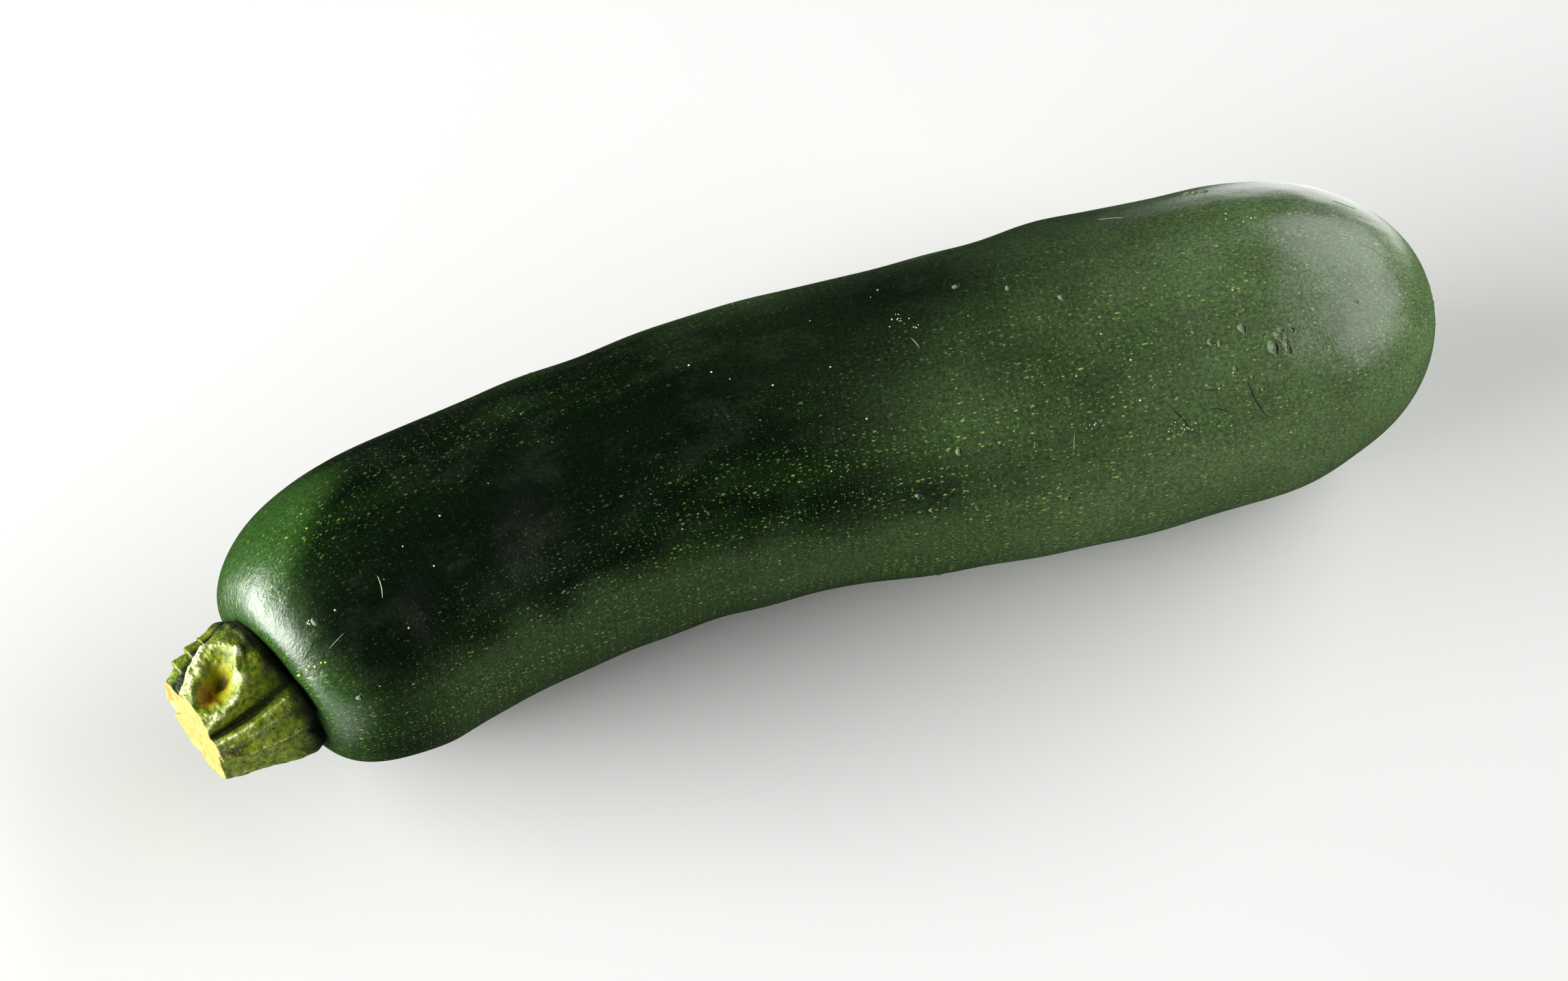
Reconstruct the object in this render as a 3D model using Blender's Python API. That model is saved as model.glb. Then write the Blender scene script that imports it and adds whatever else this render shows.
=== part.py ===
"""A courgette, the young vegetable marrow, as picked: the whole fruit with its cut stalk, lying on its belly.

The frame is in metres. +X runs along the fruit from the stalk to the flower scar, +Z is up, and the origin is
in the middle of the base of the whole object's box. The belly is flat where it rests, on z = 0.

The fruit is a loft: closed sections stand upright across a middle line that bends gently in the plane, and a
point of a section is centre + radius * (cos(angle) * side + sin(angle) * up). The stalk is a loft of the same
kind along its own straight axis. Angles are in degrees, from 0 at the fruit's left side to 90 at the top.
"""

import math

import bmesh
import bpy
import numpy as np

MM = 0.001

# Middle line of the fruit seen from above, x and y in millimetres, from the stalk's seat to the flower scar
SPINE_STATIONS = (
    (-95.4, -8.4),
    (-77.0, -1.3),
    (-47.5, 3.7),
    (-17.5, 5.5),
    (12.5, 2.6),
    (52.5, -2.5),
    (83.5, -4.2),
    (112.9, -8.1),
)

# Girth of the fruit: distance along the middle line and radius there, in millimetres
GIRTH_STATIONS = (
    (0.0, 25.2),
    (30.0, 25.5),
    (55.0, 25.0),
    (85.0, 25.6),
    (115.0, 26.6),
    (150.0, 28.3),
    (175.0, 27.6),
    (215.0, 27.2),
)

# Stem end: a flat seat for the stalk and a shoulder that turns out from it, a quarter of an ellipse
SEAT_RADIUS = 13.0 * MM
SHOULDER_LENGTH = 22.0 * MM

# Blossom end: half of an ellipse, made a little blunter, cut off where the flower scar begins
CROWN_LENGTH = 37.0 * MM
CROWN_BLUNTING = 0.94
SCAR_RADIUS = 6.6 * MM

# Flower scar, from its rim to its middle: how far each ring stands in front of the rim, and its radius
SCAR_RINGS = (
    (0.45, 6.2),
    (0.55, 5.7),
    (0.15, 4.7),
    (-0.10, 3.2),
    (0.25, 1.4),
)

# Five faint ribs, which run on from the stalk's ridges and fade along the fruit
RIBS = 5
FIRST_RIB_ANGLE = 71.0
RIB_SHARE_AT_SHOULDER = 0.024
RIB_SHARE_ALONG = 0.011
RIB_FADE_LENGTH = 30.0 * MM
RIB_SHARPNESS = 0.2

# Shallow dents of the skin, as waves: height and length along the fruit in millimetres, turns round it, phase
DENTS = (
    (0.15, 47.0, 1, 0.4),
    (0.12, 31.0, 2, 1.9),
    (0.09, 23.0, 3, 4.1),
    (0.06, 17.0, 5, 2.6),
)
DENT_FADE_LENGTH = 25.0 * MM

# The belly is pressed flat by this much, where the fruit lay on the ground
BELLY_FLAT_DEPTH = 0.45 * MM

# Stalk: its length, its bulge near the fruit and its narrower cut end. It leans a little off the middle line,
# its ridges twist, and its cut slopes so that the end shows a little from above
STALK_GAP = 0.3 * MM
STALK_LENGTH = 15.6 * MM
STALK_ROOT_RADIUS = 12.6 * MM
STALK_BULGE_RADIUS = 13.7 * MM
STALK_BULGE_HEIGHT = 1.8 * MM
STALK_CUT_RADIUS = 9.3 * MM
STALK_TAPER_POWER = 1.5
STALK_TWIST = 10.0
STALK_HEADING = 196.0
STALK_SIDE_STEP = 0.4 * MM
CUT_TILT = 3.0
CUT_FACES_ANGLE = 113.0

# Ridges of the stalk: the angle of each one's middle at the root, and half the width of its flat top
STALK_RIDGES = (
    (76.0, 25.0),
    (141.0, 15.0),
    (218.0, 22.0),
    (291.0, 19.0),
    (355.0, 21.0),
)
RIDGE_FLANK = 13.0
GROOVE_DEPTH_AT_ROOT = 1.6 * MM
GROOVE_DEPTH_AT_CUT = 2.1 * MM

# The torn hollow in the widest ridge: an oval bowl that leans across the ridge, with a raised rim
HOLLOW_ANGLE = 91.0
HOLLOW_HEIGHT = 9.2 * MM
HOLLOW_LONG = 6.3 * MM
HOLLOW_SHORT = 4.1 * MM
HOLLOW_LEAN = 45.0
HOLLOW_DEPTH = 4.8 * MM
HOLLOW_FULLNESS = 0.8
RIM_HEIGHT = 0.7 * MM
RIM_PLACE = 1.12
RIM_SPREAD = 0.22

# How finely the two solids are faceted
FRUIT_SIDES = 60
SHOULDER_RINGS = 12
BODY_RINGS = 36
CROWN_RINGS = 14
STALK_SIDES = 64
STALK_RINGS = 18
STALK_RING_SPACING_POWER = 1.15
SHARP_EDGE_ANGLE = 50.0

# Worked out from the stations: the middle line, the distance to each station, and where the crown starts
SPINE = np.array(SPINE_STATIONS) * MM
SPINE_KNOTS = np.concatenate([[0.0], np.cumsum(np.hypot(*np.diff(SPINE, axis=0).T))])
FRUIT_LENGTH = SPINE_KNOTS[-1]
CROWN_START = FRUIT_LENGTH - CROWN_LENGTH


def smooth_curve(knots, values, at):
    """A natural cubic spline through the stations: its slope and its bend change without a step."""
    knots = np.asarray(knots, float)
    values = np.asarray(values, float)
    gaps = np.diff(knots)
    slopes = np.diff(values) / gaps
    system = np.eye(len(knots))
    loads = np.zeros(len(knots))
    for inner in range(1, len(knots) - 1):
        before, after = gaps[inner - 1], gaps[inner]
        system[inner, inner - 1:inner + 2] = before, 2 * (before + after), after
        loads[inner] = 6 * (slopes[inner] - slopes[inner - 1])
    bends = np.linalg.solve(system, loads)
    span = np.clip(np.searchsorted(knots, at) - 1, 0, len(gaps) - 1)
    gap = gaps[span]
    left = (knots[span + 1] - at) / gap
    right = (at - knots[span]) / gap
    bending = ((left**3 - left) * bends[span] + (right**3 - right) * bends[span + 1]) * gap**2 / 6
    return left * values[span] + right * values[span + 1] + bending


def smooth_step(value):
    """0 below 0, 1 above 1, and an even S between."""
    share = np.clip(value, 0.0, 1.0)
    return share * share * (3.0 - 2.0 * share)


def spine_point(along):
    """x and y of the middle line at a distance along it."""
    return np.stack([smooth_curve(SPINE_KNOTS, SPINE[:, axis], along) for axis in (0, 1)], axis=-1)


def spine_heading(along):
    """Unit direction of the middle line, seen from above, from two points a millimetre apart."""
    step = spine_point(along + 0.5 * MM) - spine_point(along - 0.5 * MM)
    return step / np.linalg.norm(step, axis=-1, keepdims=True)


def girth(along):
    """Radius of the fruit before its two ends are rounded off."""
    distances, radii = np.array(GIRTH_STATIONS).T * MM
    return smooth_curve(distances, radii, along)


def rib_wave(angle):
    """1 on a rib's crest, about -1 between two ribs, with crests a little sharper than the hollows."""
    turn = np.radians(angle - FIRST_RIB_ANGLE) * RIBS
    return (1.0 - RIB_SHARPNESS) * np.cos(turn) + RIB_SHARPNESS * np.cos(2 * turn)


def skin_relief(along, angle, radius):
    """How far ribs and dents move the skin: ribs as a share of the radius, dents as a sum of waves."""
    fade = np.exp(-along / RIB_FADE_LENGTH)
    rib_share = RIB_SHARE_ALONG + (RIB_SHARE_AT_SHOULDER - RIB_SHARE_ALONG) * fade
    relief = rib_share * radius * rib_wave(angle)
    ends = smooth_step(along / DENT_FADE_LENGTH) * smooth_step((FRUIT_LENGTH - along) / DENT_FADE_LENGTH)
    for height, length, turns, phase in DENTS:
        wave = np.sin(2 * math.pi * along / (length * MM) + turns * np.radians(angle) + phase)
        relief = relief + height * MM * ends * wave
    return relief


def fruit_rings():
    """Distance along and radius of each ring, from the seat, over shoulder, body and crown, to the scar."""
    shoulder_turn = np.radians(np.linspace(0.0, 90.0, SHOULDER_RINGS, endpoint=False))
    shoulder_along = SHOULDER_LENGTH * (1 - np.cos(shoulder_turn))
    shoulder_radius = SEAT_RADIUS + (girth(shoulder_along) - SEAT_RADIUS) * np.sin(shoulder_turn)

    body_along = np.linspace(SHOULDER_LENGTH, CROWN_START, BODY_RINGS)
    body_radius = girth(body_along)

    last_turn = math.acos((SCAR_RADIUS / girth(FRUIT_LENGTH)) ** (1.0 / CROWN_BLUNTING))
    crown_turn = np.linspace(0.0, last_turn, CROWN_RINGS + 1)[1:]
    crown_along = CROWN_START + CROWN_LENGTH * np.sin(crown_turn) ** CROWN_BLUNTING
    crown_radius = girth(crown_along) * np.cos(crown_turn) ** CROWN_BLUNTING

    proud, scar_radius = np.array(SCAR_RINGS).T * MM
    along = np.concatenate([shoulder_along, body_along, crown_along, crown_along[-1] + proud])
    radius = np.concatenate([shoulder_radius, body_radius, crown_radius, scar_radius])
    return along[:, None], radius[:, None]


def fruit_points():
    """Every point of the fruit, ring by ring, with the belly pressed flat on the ground."""
    along, radius = fruit_rings()
    angle = np.arange(FRUIT_SIDES)[None, :] * (360.0 / FRUIT_SIDES)
    reach = radius + skin_relief(along, angle, radius)
    centre = spine_point(along)
    heading = spine_heading(along)
    side = np.stack([-heading[..., 1], heading[..., 0]], axis=-1)
    across = reach * np.cos(np.radians(angle))
    flat = centre + across[..., None] * side
    middle_height = girth(along) - BELLY_FLAT_DEPTH
    height = np.maximum(middle_height + reach * np.sin(np.radians(angle)), 0.0)
    return np.concatenate([flat, height[..., None]], axis=-1)


def stalk_profile(height):
    """Radius of the stalk on its ridges: it swells from the root and then narrows to the cut."""
    swell = np.sqrt(np.clip(height / STALK_BULGE_HEIGHT, 0.0, 1.0))
    root = STALK_ROOT_RADIUS + (STALK_BULGE_RADIUS - STALK_ROOT_RADIUS) * swell
    narrowing = (height / STALK_LENGTH) ** STALK_TAPER_POWER
    return root - (STALK_BULGE_RADIUS - STALK_CUT_RADIUS) * narrowing


def ridge_share(angle):
    """1 on the flat tops of the stalk's ridges, 0 in the grooves, with even flanks between."""
    share = np.zeros_like(angle)
    for middle, half_width in STALK_RIDGES:
        away = np.abs((angle - middle + 180.0) % 360.0 - 180.0)
        share = np.maximum(share, 1.0 - smooth_step((away - half_width) / RIDGE_FLANK))
    return share


def hollow_depth(height, angle):
    """Depth of the torn hollow, an oval bowl on the unrolled side of the stalk, less the rim round it."""
    across = np.radians(angle - HOLLOW_ANGLE) * stalk_profile(HOLLOW_HEIGHT)
    up = height - HOLLOW_HEIGHT
    lean = math.radians(HOLLOW_LEAN)
    lengthways = (across * math.cos(lean) + up * math.sin(lean)) / HOLLOW_LONG
    crossways = (up * math.cos(lean) - across * math.sin(lean)) / HOLLOW_SHORT
    out = np.hypot(lengthways, crossways)
    bowl = smooth_step(1.0 - out) ** HOLLOW_FULLNESS
    rim = np.exp(-(((out - RIM_PLACE) / RIM_SPREAD) ** 2))
    return HOLLOW_DEPTH * bowl - RIM_HEIGHT * rim


def stalk_points():
    """Every point of the stalk, ring by ring, from a root that lies flat on the seat to the sloping cut."""
    angle = np.arange(STALK_SIDES)[None, :] * (360.0 / STALK_SIDES)
    share = np.linspace(0.0, 1.0, STALK_RINGS + 1)[:, None] ** STALK_RING_SPACING_POWER
    height = share * STALK_LENGTH
    groove = GROOVE_DEPTH_AT_ROOT + (GROOVE_DEPTH_AT_CUT - GROOVE_DEPTH_AT_ROOT) * share
    untwisted = angle - STALK_TWIST * share
    reach = stalk_profile(height) - groove * (1.0 - ridge_share(untwisted)) - hollow_depth(height, angle)
    sideways = STALK_SIDE_STEP + reach * np.cos(np.radians(angle))
    upwards = reach * np.sin(np.radians(angle))

    heading = math.radians(STALK_HEADING)
    axis = np.array([math.cos(heading), math.sin(heading), 0.0])
    side = np.array([axis[1], -axis[0], 0.0])
    up = np.array([0.0, 0.0, 1.0])
    seat = np.array([*SPINE[0], girth(0.0) - BELLY_FLAT_DEPTH])
    seat_normal = -np.array([*spine_heading(0.0), 0.0])

    root_along = (STALK_GAP - sideways * (side @ seat_normal)) / (axis @ seat_normal)
    cut_drop = math.tan(math.radians(CUT_TILT)) * reach * np.cos(np.radians(angle - CUT_FACES_ANGLE))
    along = (1.0 - share) * root_along + share * (STALK_GAP + STALK_LENGTH - cut_drop)
    return seat + along[..., None] * axis + sideways[..., None] * side + upwards[..., None] * up


def skin_material(name, colour, roughness):
    """A plain Principled material with the piece's own colour."""
    material = bpy.data.materials.new(name)
    material.use_nodes = True
    shader = material.node_tree.nodes["Principled BSDF"]
    shader.inputs["Base Color"].default_value = (*colour, 1.0)
    shader.inputs["Roughness"].default_value = roughness
    shader.inputs["Metallic"].default_value = 0.0
    return material


def loft(name, points, material):
    """One closed body: quads between neighbouring rings, and a fan from the middle of each end ring."""
    shape = bmesh.new()
    rings = [[shape.verts.new(point) for point in ring] for ring in points]
    for ring, following in zip(rings, rings[1:]):
        for corner in range(len(ring)):
            ahead = (corner + 1) % len(ring)
            shape.faces.new((ring[corner], ring[ahead], following[ahead], following[corner]))
    ends = [shape.faces.new(rings[0]), shape.faces.new(rings[-1])]
    bmesh.ops.recalc_face_normals(shape, faces=shape.faces)
    bmesh.ops.poke(shape, faces=ends)
    mesh = bpy.data.meshes.new(name)
    shape.to_mesh(mesh)
    shape.free()
    mesh.shade_smooth()
    mesh.set_sharp_from_angle(angle=math.radians(SHARP_EDGE_ANGLE))
    mesh.materials.append(material)
    piece = bpy.data.objects.new(name, mesh)
    bpy.context.scene.collection.objects.link(piece)
    return piece


def main():
    for old in list(bpy.data.objects):
        bpy.data.objects.remove(old)
    rind = skin_material("courgette rind", (0.020, 0.060, 0.018), 0.35)
    stalk_green = skin_material("courgette stalk", (0.270, 0.340, 0.050), 0.60)
    loft("fruit", fruit_points(), rind)
    loft("stalk", stalk_points(), stalk_green)


main()
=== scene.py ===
"""Looks of a courgette, the young vegetable marrow, as picked and lying on its belly.

It makes the waxy, finely flecked rind, the dry scar where the flower sat, the cut stalk with its corky
ridges and its torn hollow, a few healed marks, and a pale floor with soft studio light. The file is laid out
as a Blender add-on and is run as a script. Lengths are in millimetres until a mesh is made, then in metres.
A place on the fruit is a distance along its middle line and an angle around it, from 0 at the left to 90 at
the top.
"""

import itertools
import math

import bpy
import numpy as np
from bpy.props import FloatProperty, FloatVectorProperty, IntProperty
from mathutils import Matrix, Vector


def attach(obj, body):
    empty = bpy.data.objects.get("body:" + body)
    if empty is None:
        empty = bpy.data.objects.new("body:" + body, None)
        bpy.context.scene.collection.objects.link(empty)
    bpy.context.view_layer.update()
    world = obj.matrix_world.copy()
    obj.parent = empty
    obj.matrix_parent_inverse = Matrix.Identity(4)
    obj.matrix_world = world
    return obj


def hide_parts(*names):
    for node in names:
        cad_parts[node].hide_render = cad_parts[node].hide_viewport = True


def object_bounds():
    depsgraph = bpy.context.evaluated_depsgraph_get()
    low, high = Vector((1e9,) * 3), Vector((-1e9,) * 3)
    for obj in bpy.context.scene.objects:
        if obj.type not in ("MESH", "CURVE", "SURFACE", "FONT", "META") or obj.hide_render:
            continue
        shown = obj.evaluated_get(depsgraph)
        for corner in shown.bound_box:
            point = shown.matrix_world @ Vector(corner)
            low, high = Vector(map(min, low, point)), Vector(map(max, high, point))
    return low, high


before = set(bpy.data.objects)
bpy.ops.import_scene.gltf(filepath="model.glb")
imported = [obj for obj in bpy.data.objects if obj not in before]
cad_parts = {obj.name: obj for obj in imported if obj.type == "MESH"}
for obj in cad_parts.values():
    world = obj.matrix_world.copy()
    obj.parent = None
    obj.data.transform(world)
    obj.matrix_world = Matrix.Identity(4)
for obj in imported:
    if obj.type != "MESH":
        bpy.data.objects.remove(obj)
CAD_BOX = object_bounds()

bl_info = {
    "name": "Courgette with cut stalk",
    "version": (1, 0, 0),
    "blender": (4, 5, 0),
    "location": "View3D > Sidebar > Courgette",
    "description": "Makes a flecked courgette with its cut stalk, and a plain stage for it",
    "category": "Object",
}

MM = 0.001
BODY = "root"

# Middle line of the fruit from above, x and y, from the stalk's seat to the flower scar
SPINE_STATIONS = (
    (-95.4, -8.4),
    (-77, -1.3),
    (-47.5, 3.7),
    (-17.5, 5.5),
    (12.5, 2.6),
    (52.5, -2.5),
    (83.5, -4.2),
    (112.9, -8.1),
)
SPINE = np.array(SPINE_STATIONS)
SPINE_KNOTS = np.concatenate([[0.0], np.cumsum(np.hypot(*np.diff(SPINE, axis=0).T))])
FRUIT_LENGTH = SPINE_KNOTS[-1]

# Girth: distance along the middle line, and radius
GIRTH_STATIONS = (
    (0, 25.2),
    (30, 25.5),
    (55, 25),
    (85, 25.6),
    (115, 26.6),
    (150, 28.3),
    (175, 27.6),
    (215, 27.2),
)
SEAT_RADIUS = 13.0
SHOULDER_LENGTH = 22.0
CROWN_LENGTH = 37.0
CROWN_START = FRUIT_LENGTH - CROWN_LENGTH
CROWN_BLUNTING = 0.94
SCAR_RADIUS = 6.6

# Ribs, as a share of the radius, and the dents, as waves: height, length, turns around, phase
RIBS = 5
FIRST_RIB_ANGLE = 71.0
RIB_SHARE_AT_SHOULDER = 0.024
RIB_SHARE_ALONG = 0.011
RIB_FADE_LENGTH = 30.0
RIB_SHARPNESS = 0.2
DENTS = (
    (0.15, 47.0, 1, 0.4),
    (0.12, 31.0, 2, 1.9),
    (0.09, 23.0, 3, 4.1),
    (0.06, 17.0, 5, 2.6),
)
DENT_FADE_LENGTH = 25.0
BELLY_FLAT_DEPTH = 0.45

# The skin stands this far inside the solid, so that its fine relief stays in the solid's box
SKIN_INSET = 0.08
LOWEST_SKIN = 0.02

# Every piece of the fruit and stalk stays this far inside the box of the solids
BOX_MARGIN = 0.01
BOX_LOW = np.array(CAD_BOX[0]) / MM + BOX_MARGIN
BOX_HIGH = np.array(CAD_BOX[1]) / MM - BOX_MARGIN

# Marks on the upper side right by the stalk are set nearer to it: how much, middle angle and spread, and the
# radius of the fruit at which that ends
NEARER_BY = 1.3
NEARER_ANGLE = 82.0
NEARER_SPREAD = 34.0
NEARER_END_RADIUS = 14.5
NEARER_END_WIDTH = 5.0

# Stalk: its radii, its heading and the slope of its cut
STALK_LENGTH = 15.6
STALK_GAP = 0.3
ROOT_RADIUS = 12.6
BULGE_RADIUS = 13.7
BULGE_HEIGHT = 1.8
CUT_RADIUS = 9.3
TAPER_POWER = 1.5
STALK_HEADING = 196.0
STALK_SIDE_STEP = 0.4
CUT_TILT = 3.0
CUT_FACES_ANGLE = 113.0

# Rind grid: rings along, sides around
SHOULDER_RINGS = 64
BODY_RINGS = 190
CROWN_RINGS = 80
RIND_SIDES = 280
RIND_SEAM_ANGLE = 270.0
GROWTH_RADIUS = 26.0
END_SINK = 2.5

# Cells along each side of the lattice of random values under every noise
NOISE_CELLS = 48

# The noises that make the edges of the skin's tones waver: stretch along, and cell sizes
WAVER_STRETCH = 0.5
WAVER_CELL = 12.0
PATCH_CELL = 7.0

# The paler skin towards the blossom end, partly its own paler green and partly painted sheen of the light
# beyond it: where it starts, its length, how far it wavers, its strength and mottling, and how much it gives
# way to the darkest skin with its painted shade and gains on the belly, with its painted floor reflection
PALE_END_START = 74.0
PALE_END_LENGTH = 122.0
PALE_END_WAVER = 22.0
PALE_END_SHARE = 0.92
PALE_END_MOTTLE = 0.2
PALE_END_SHADED = 0.9
PALE_END_BELOW = 0.1

# The paler belly, partly its own olive and partly painted reflection of the lit floor: angle from the lowest
# line to its edge, how soft that edge is and how far it wavers, and where the belly begins along
BELLY_EDGE = 131.0
BELLY_SOFTNESS = 20.0
BELLY_WAVER = 7.0
BELLY_MOTTLE = 5.0
BELLY_START = 2.0
BELLY_START_LENGTH = 26.0

# The green round the stalk: how far it reaches, how soft its edge is and how far it wavers, and where around
# the fruit it reaches farther
SHOULDER_END = 10.0
SHOULDER_SOFTNESS = 11.0
SHOULDER_WAVER = 3.0
SHOULDER_FARTHER = 18.0
SHOULDER_FARTHER_ANGLE = 48.0
SHOULDER_FARTHER_SPREAD = 30.0

# The darkest skin, partly the fruit's own very dark green and partly painted shade over the upper middle of
# the fruit: where it fades along and how far that wavers, its middle and spread around, how its middle turns
# over the length, and its strength
DEEP_FADE_START = 100.0
DEEP_FADE_LENGTH = 125.0
DEEP_WAVER = 8.0
DEEP_ALONG = 75.0
DEEP_ANGLE = 92.0
DEEP_SPREAD = 44.0
DEEP_TURN = 0.4
DEEP_SHARE = 0.95

# Where around the fruit the flecks are faint: how much, middle and spread
FAINT_SHARE = 0.65
FAINT_ANGLE = 40.0
FAINT_SPREAD = 34.0


def linear(code):
    """Linear colour of an sRGB hex code."""
    parts = np.array([int(code[start:start + 2], 16) for start in (1, 3, 5)]) / 255
    bright = ((parts + 0.055) / 1.055) ** 2.4
    return tuple(np.where(parts <= 0.04045, parts / 12.92, bright).tolist())


def smooth_step(value):
    """0 below 0, 1 above 1, and an even S between."""
    share = np.clip(value, 0.0, 1.0)
    return share * share * (3.0 - 2.0 * share)


def hump(value):
    """A bell: 1 at 0, falling to 0.37 at 1 on either side."""
    return np.exp(-(value**2))


def turn_from(angle, start):
    """Turn from one angle to another, from -180 to 180."""
    return (angle - start + 180.0) % 360.0 - 180.0


def stacked(*parts):
    """Arrays side by side along a new last axis, after their shapes are made the same."""
    return np.stack(np.broadcast_arrays(*parts), axis=-1)


def polar(radius, angle):
    """How far across and how far up a radius reaches at an angle in degrees."""
    turn = np.radians(angle)
    return radius * np.cos(turn), radius * np.sin(turn)


def side_angles(sides, start=0.0):
    """Angles of the sides of a grid that is closed around, as one row."""
    return start + np.arange(sides)[None, :] * (360.0 / sides)


def unit(vectors):
    """Vectors brought to a length of 1."""
    return vectors / np.maximum(np.linalg.norm(vectors, axis=-1, keepdims=True), 1e-12)


def smooth_curve(knots, values, at):
    """A natural cubic spline through the stations: its slope and its bend change without a step."""
    knots = np.asarray(knots, float)
    values = np.asarray(values, float)
    gaps = np.diff(knots)
    slopes = np.diff(values) / gaps
    system = np.eye(len(knots))
    loads = np.zeros(len(knots))
    for inner in range(1, len(knots) - 1):
        before, after = gaps[inner - 1], gaps[inner]
        system[inner, inner - 1:inner + 2] = before, 2 * (before + after), after
        loads[inner] = 6 * (slopes[inner] - slopes[inner - 1])
    bends = np.linalg.solve(system, loads)
    span = np.clip(np.searchsorted(knots, at) - 1, 0, len(gaps) - 1)
    gap = gaps[span]
    left = (knots[span + 1] - at) / gap
    right = (at - knots[span]) / gap
    bending = ((left**3 - left) * bends[span] + (right**3 - right) * bends[span + 1]) * gap**2 / 6
    return left * values[span] + right * values[span + 1] + bending


def smooth_noise(points, cell, seed):
    """Noise from -1 to 1: random values on a cubic lattice of that cell size, blended with smooth steps."""
    table = np.random.default_rng(seed).uniform(-1.0, 1.0, (NOISE_CELLS,) * 3)
    scaled = np.asarray(points) / cell
    low = np.floor(scaled).astype(int)
    share = smooth_step(scaled - low)
    total = np.zeros(scaled.shape[:-1])
    for corner in itertools.product((0, 1), repeat=3):
        weight = np.prod(np.where(corner, share, 1.0 - share), axis=-1)
        x, y, z = np.moveaxis((low + corner) % NOISE_CELLS, -1, 0)
        total += weight * table[x, y, z]
    return total


def noise_sum(points, waves):
    """A sum of noises, each with its height, cell size and seed."""
    return sum(height * smooth_noise(points, cell, seed) for height, cell, seed in waves)


def grid_normals(points):
    """Unit normals of a grid that is closed around: the cross product of its two directions."""
    wrapped = np.concatenate([points[:, -1:], points, points[:, :1]], axis=1)
    around = (wrapped[:, 2:] - wrapped[:, :-2]) / 2
    return unit(np.cross(around, np.gradient(points, axis=0)))


def ring_faces(rings, sides, start=0):
    """Quads between neighbouring rings of a grid that is closed around, as point numbers."""
    ring, side = np.meshgrid(np.arange(rings - 1), np.arange(sides), indexing="ij")
    ahead = (side + 1) % sides
    here = start + ring * sides
    there = here + sides
    return stacked(here + side, here + ahead, there + ahead, there + side).reshape(-1, 4)


def fan_faces(ring_start, sides, tip):
    """Triangles from a ring to a tip point, as point numbers."""
    side = np.arange(sides)
    return stacked(ring_start + side, ring_start + (side + 1) % sides, tip)


def closed_tube(points):
    """Points and faces of a grid closed around, with a fan at each end to the middle of the end ring."""
    rings, sides = points.shape[:2]
    flat = points.reshape(-1, 3)
    tips = np.array([points[0].mean(axis=0), points[-1].mean(axis=0)])
    first = fan_faces(0, sides, len(flat))[:, ::-1]
    last = fan_faces((rings - 1) * sides, sides, len(flat) + 1)
    return np.concatenate([flat, tips]), [ring_faces(rings, sides), first, last]


def many_domes(rings, tips):
    """Points and faces of many small domes: rings from the top down for each, and a tip above the first."""
    count, rows, sides = rings.shape[:3]
    step = rows * sides + 1
    points = np.concatenate([rings.reshape(count, -1, 3), tips[:, None]], axis=1)
    faces = []
    for start in range(0, count * step, step):
        faces.append(ring_faces(rows, sides, start))
        faces.append(fan_faces(start, sides, start + step - 1)[:, ::-1])
    return points.reshape(-1, 3), faces


def make_piece(name, points, faces, material, attributes=None, corner_map=None):
    """A smooth mesh object from points in millimetres, groups of faces, point values and a map of corners."""
    mesh = bpy.data.meshes.new(name)
    listed = [face for group in faces for face in group.tolist()]
    mesh.from_pydata((np.asarray(points) * MM).tolist(), [], listed)
    mesh.validate()
    mesh.shade_smooth()
    for key, values in (attributes or {}).items():
        values = np.asarray(values, np.float32)
        kind, field = ("FLOAT_VECTOR", "vector") if values.ndim == 2 else ("FLOAT", "value")
        mesh.attributes.new(key, kind, "POINT").data.foreach_set(field, values.ravel())
    if corner_map is not None:
        layer = mesh.uv_layers.new(name="growth_map")
        layer.uv.foreach_set("vector", np.asarray(corner_map, np.float32).ravel())
    mesh.materials.append(material)
    piece = bpy.data.objects.new(name, mesh)
    bpy.context.scene.collection.objects.link(piece)
    return piece


def held_in(points):
    """Points moved by some hundredths of a millimetre where they would leave the box of the solids."""
    return np.clip(points, BOX_LOW, BOX_HIGH)


def spine_point(along):
    """x and y of the middle line at a distance along it."""
    return stacked(*(smooth_curve(SPINE_KNOTS, places, along) for places in SPINE.T))


def spine_heading(along):
    """Unit direction of the middle line, seen from above, from two points a millimetre apart."""
    return unit(spine_point(along + 0.5) - spine_point(along - 0.5))


def spine_side(along):
    """Unit direction to the left of the middle line, seen from above."""
    heading = spine_heading(along)
    return stacked(-heading[..., 1], heading[..., 0])


def girth(along):
    """Radius of the fruit before its two ends are rounded off."""
    distances, radii = np.array(GIRTH_STATIONS).T
    return smooth_curve(distances, radii, along)


def fruit_radius(along):
    """Girth rounded off: a quarter of an ellipse from the seat, and a blunter one at the blossom end."""
    shoulder = np.sqrt(1.0 - (1.0 - np.clip(along / SHOULDER_LENGTH, 0.0, 1.0)) ** 2)
    into_crown = np.clip((along - CROWN_START) / CROWN_LENGTH, 0.0, 1.0) ** (1.0 / CROWN_BLUNTING)
    crown = np.sqrt(1.0 - into_crown**2) ** CROWN_BLUNTING
    return (SEAT_RADIUS + (girth(along) - SEAT_RADIUS) * shoulder) * crown


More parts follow.
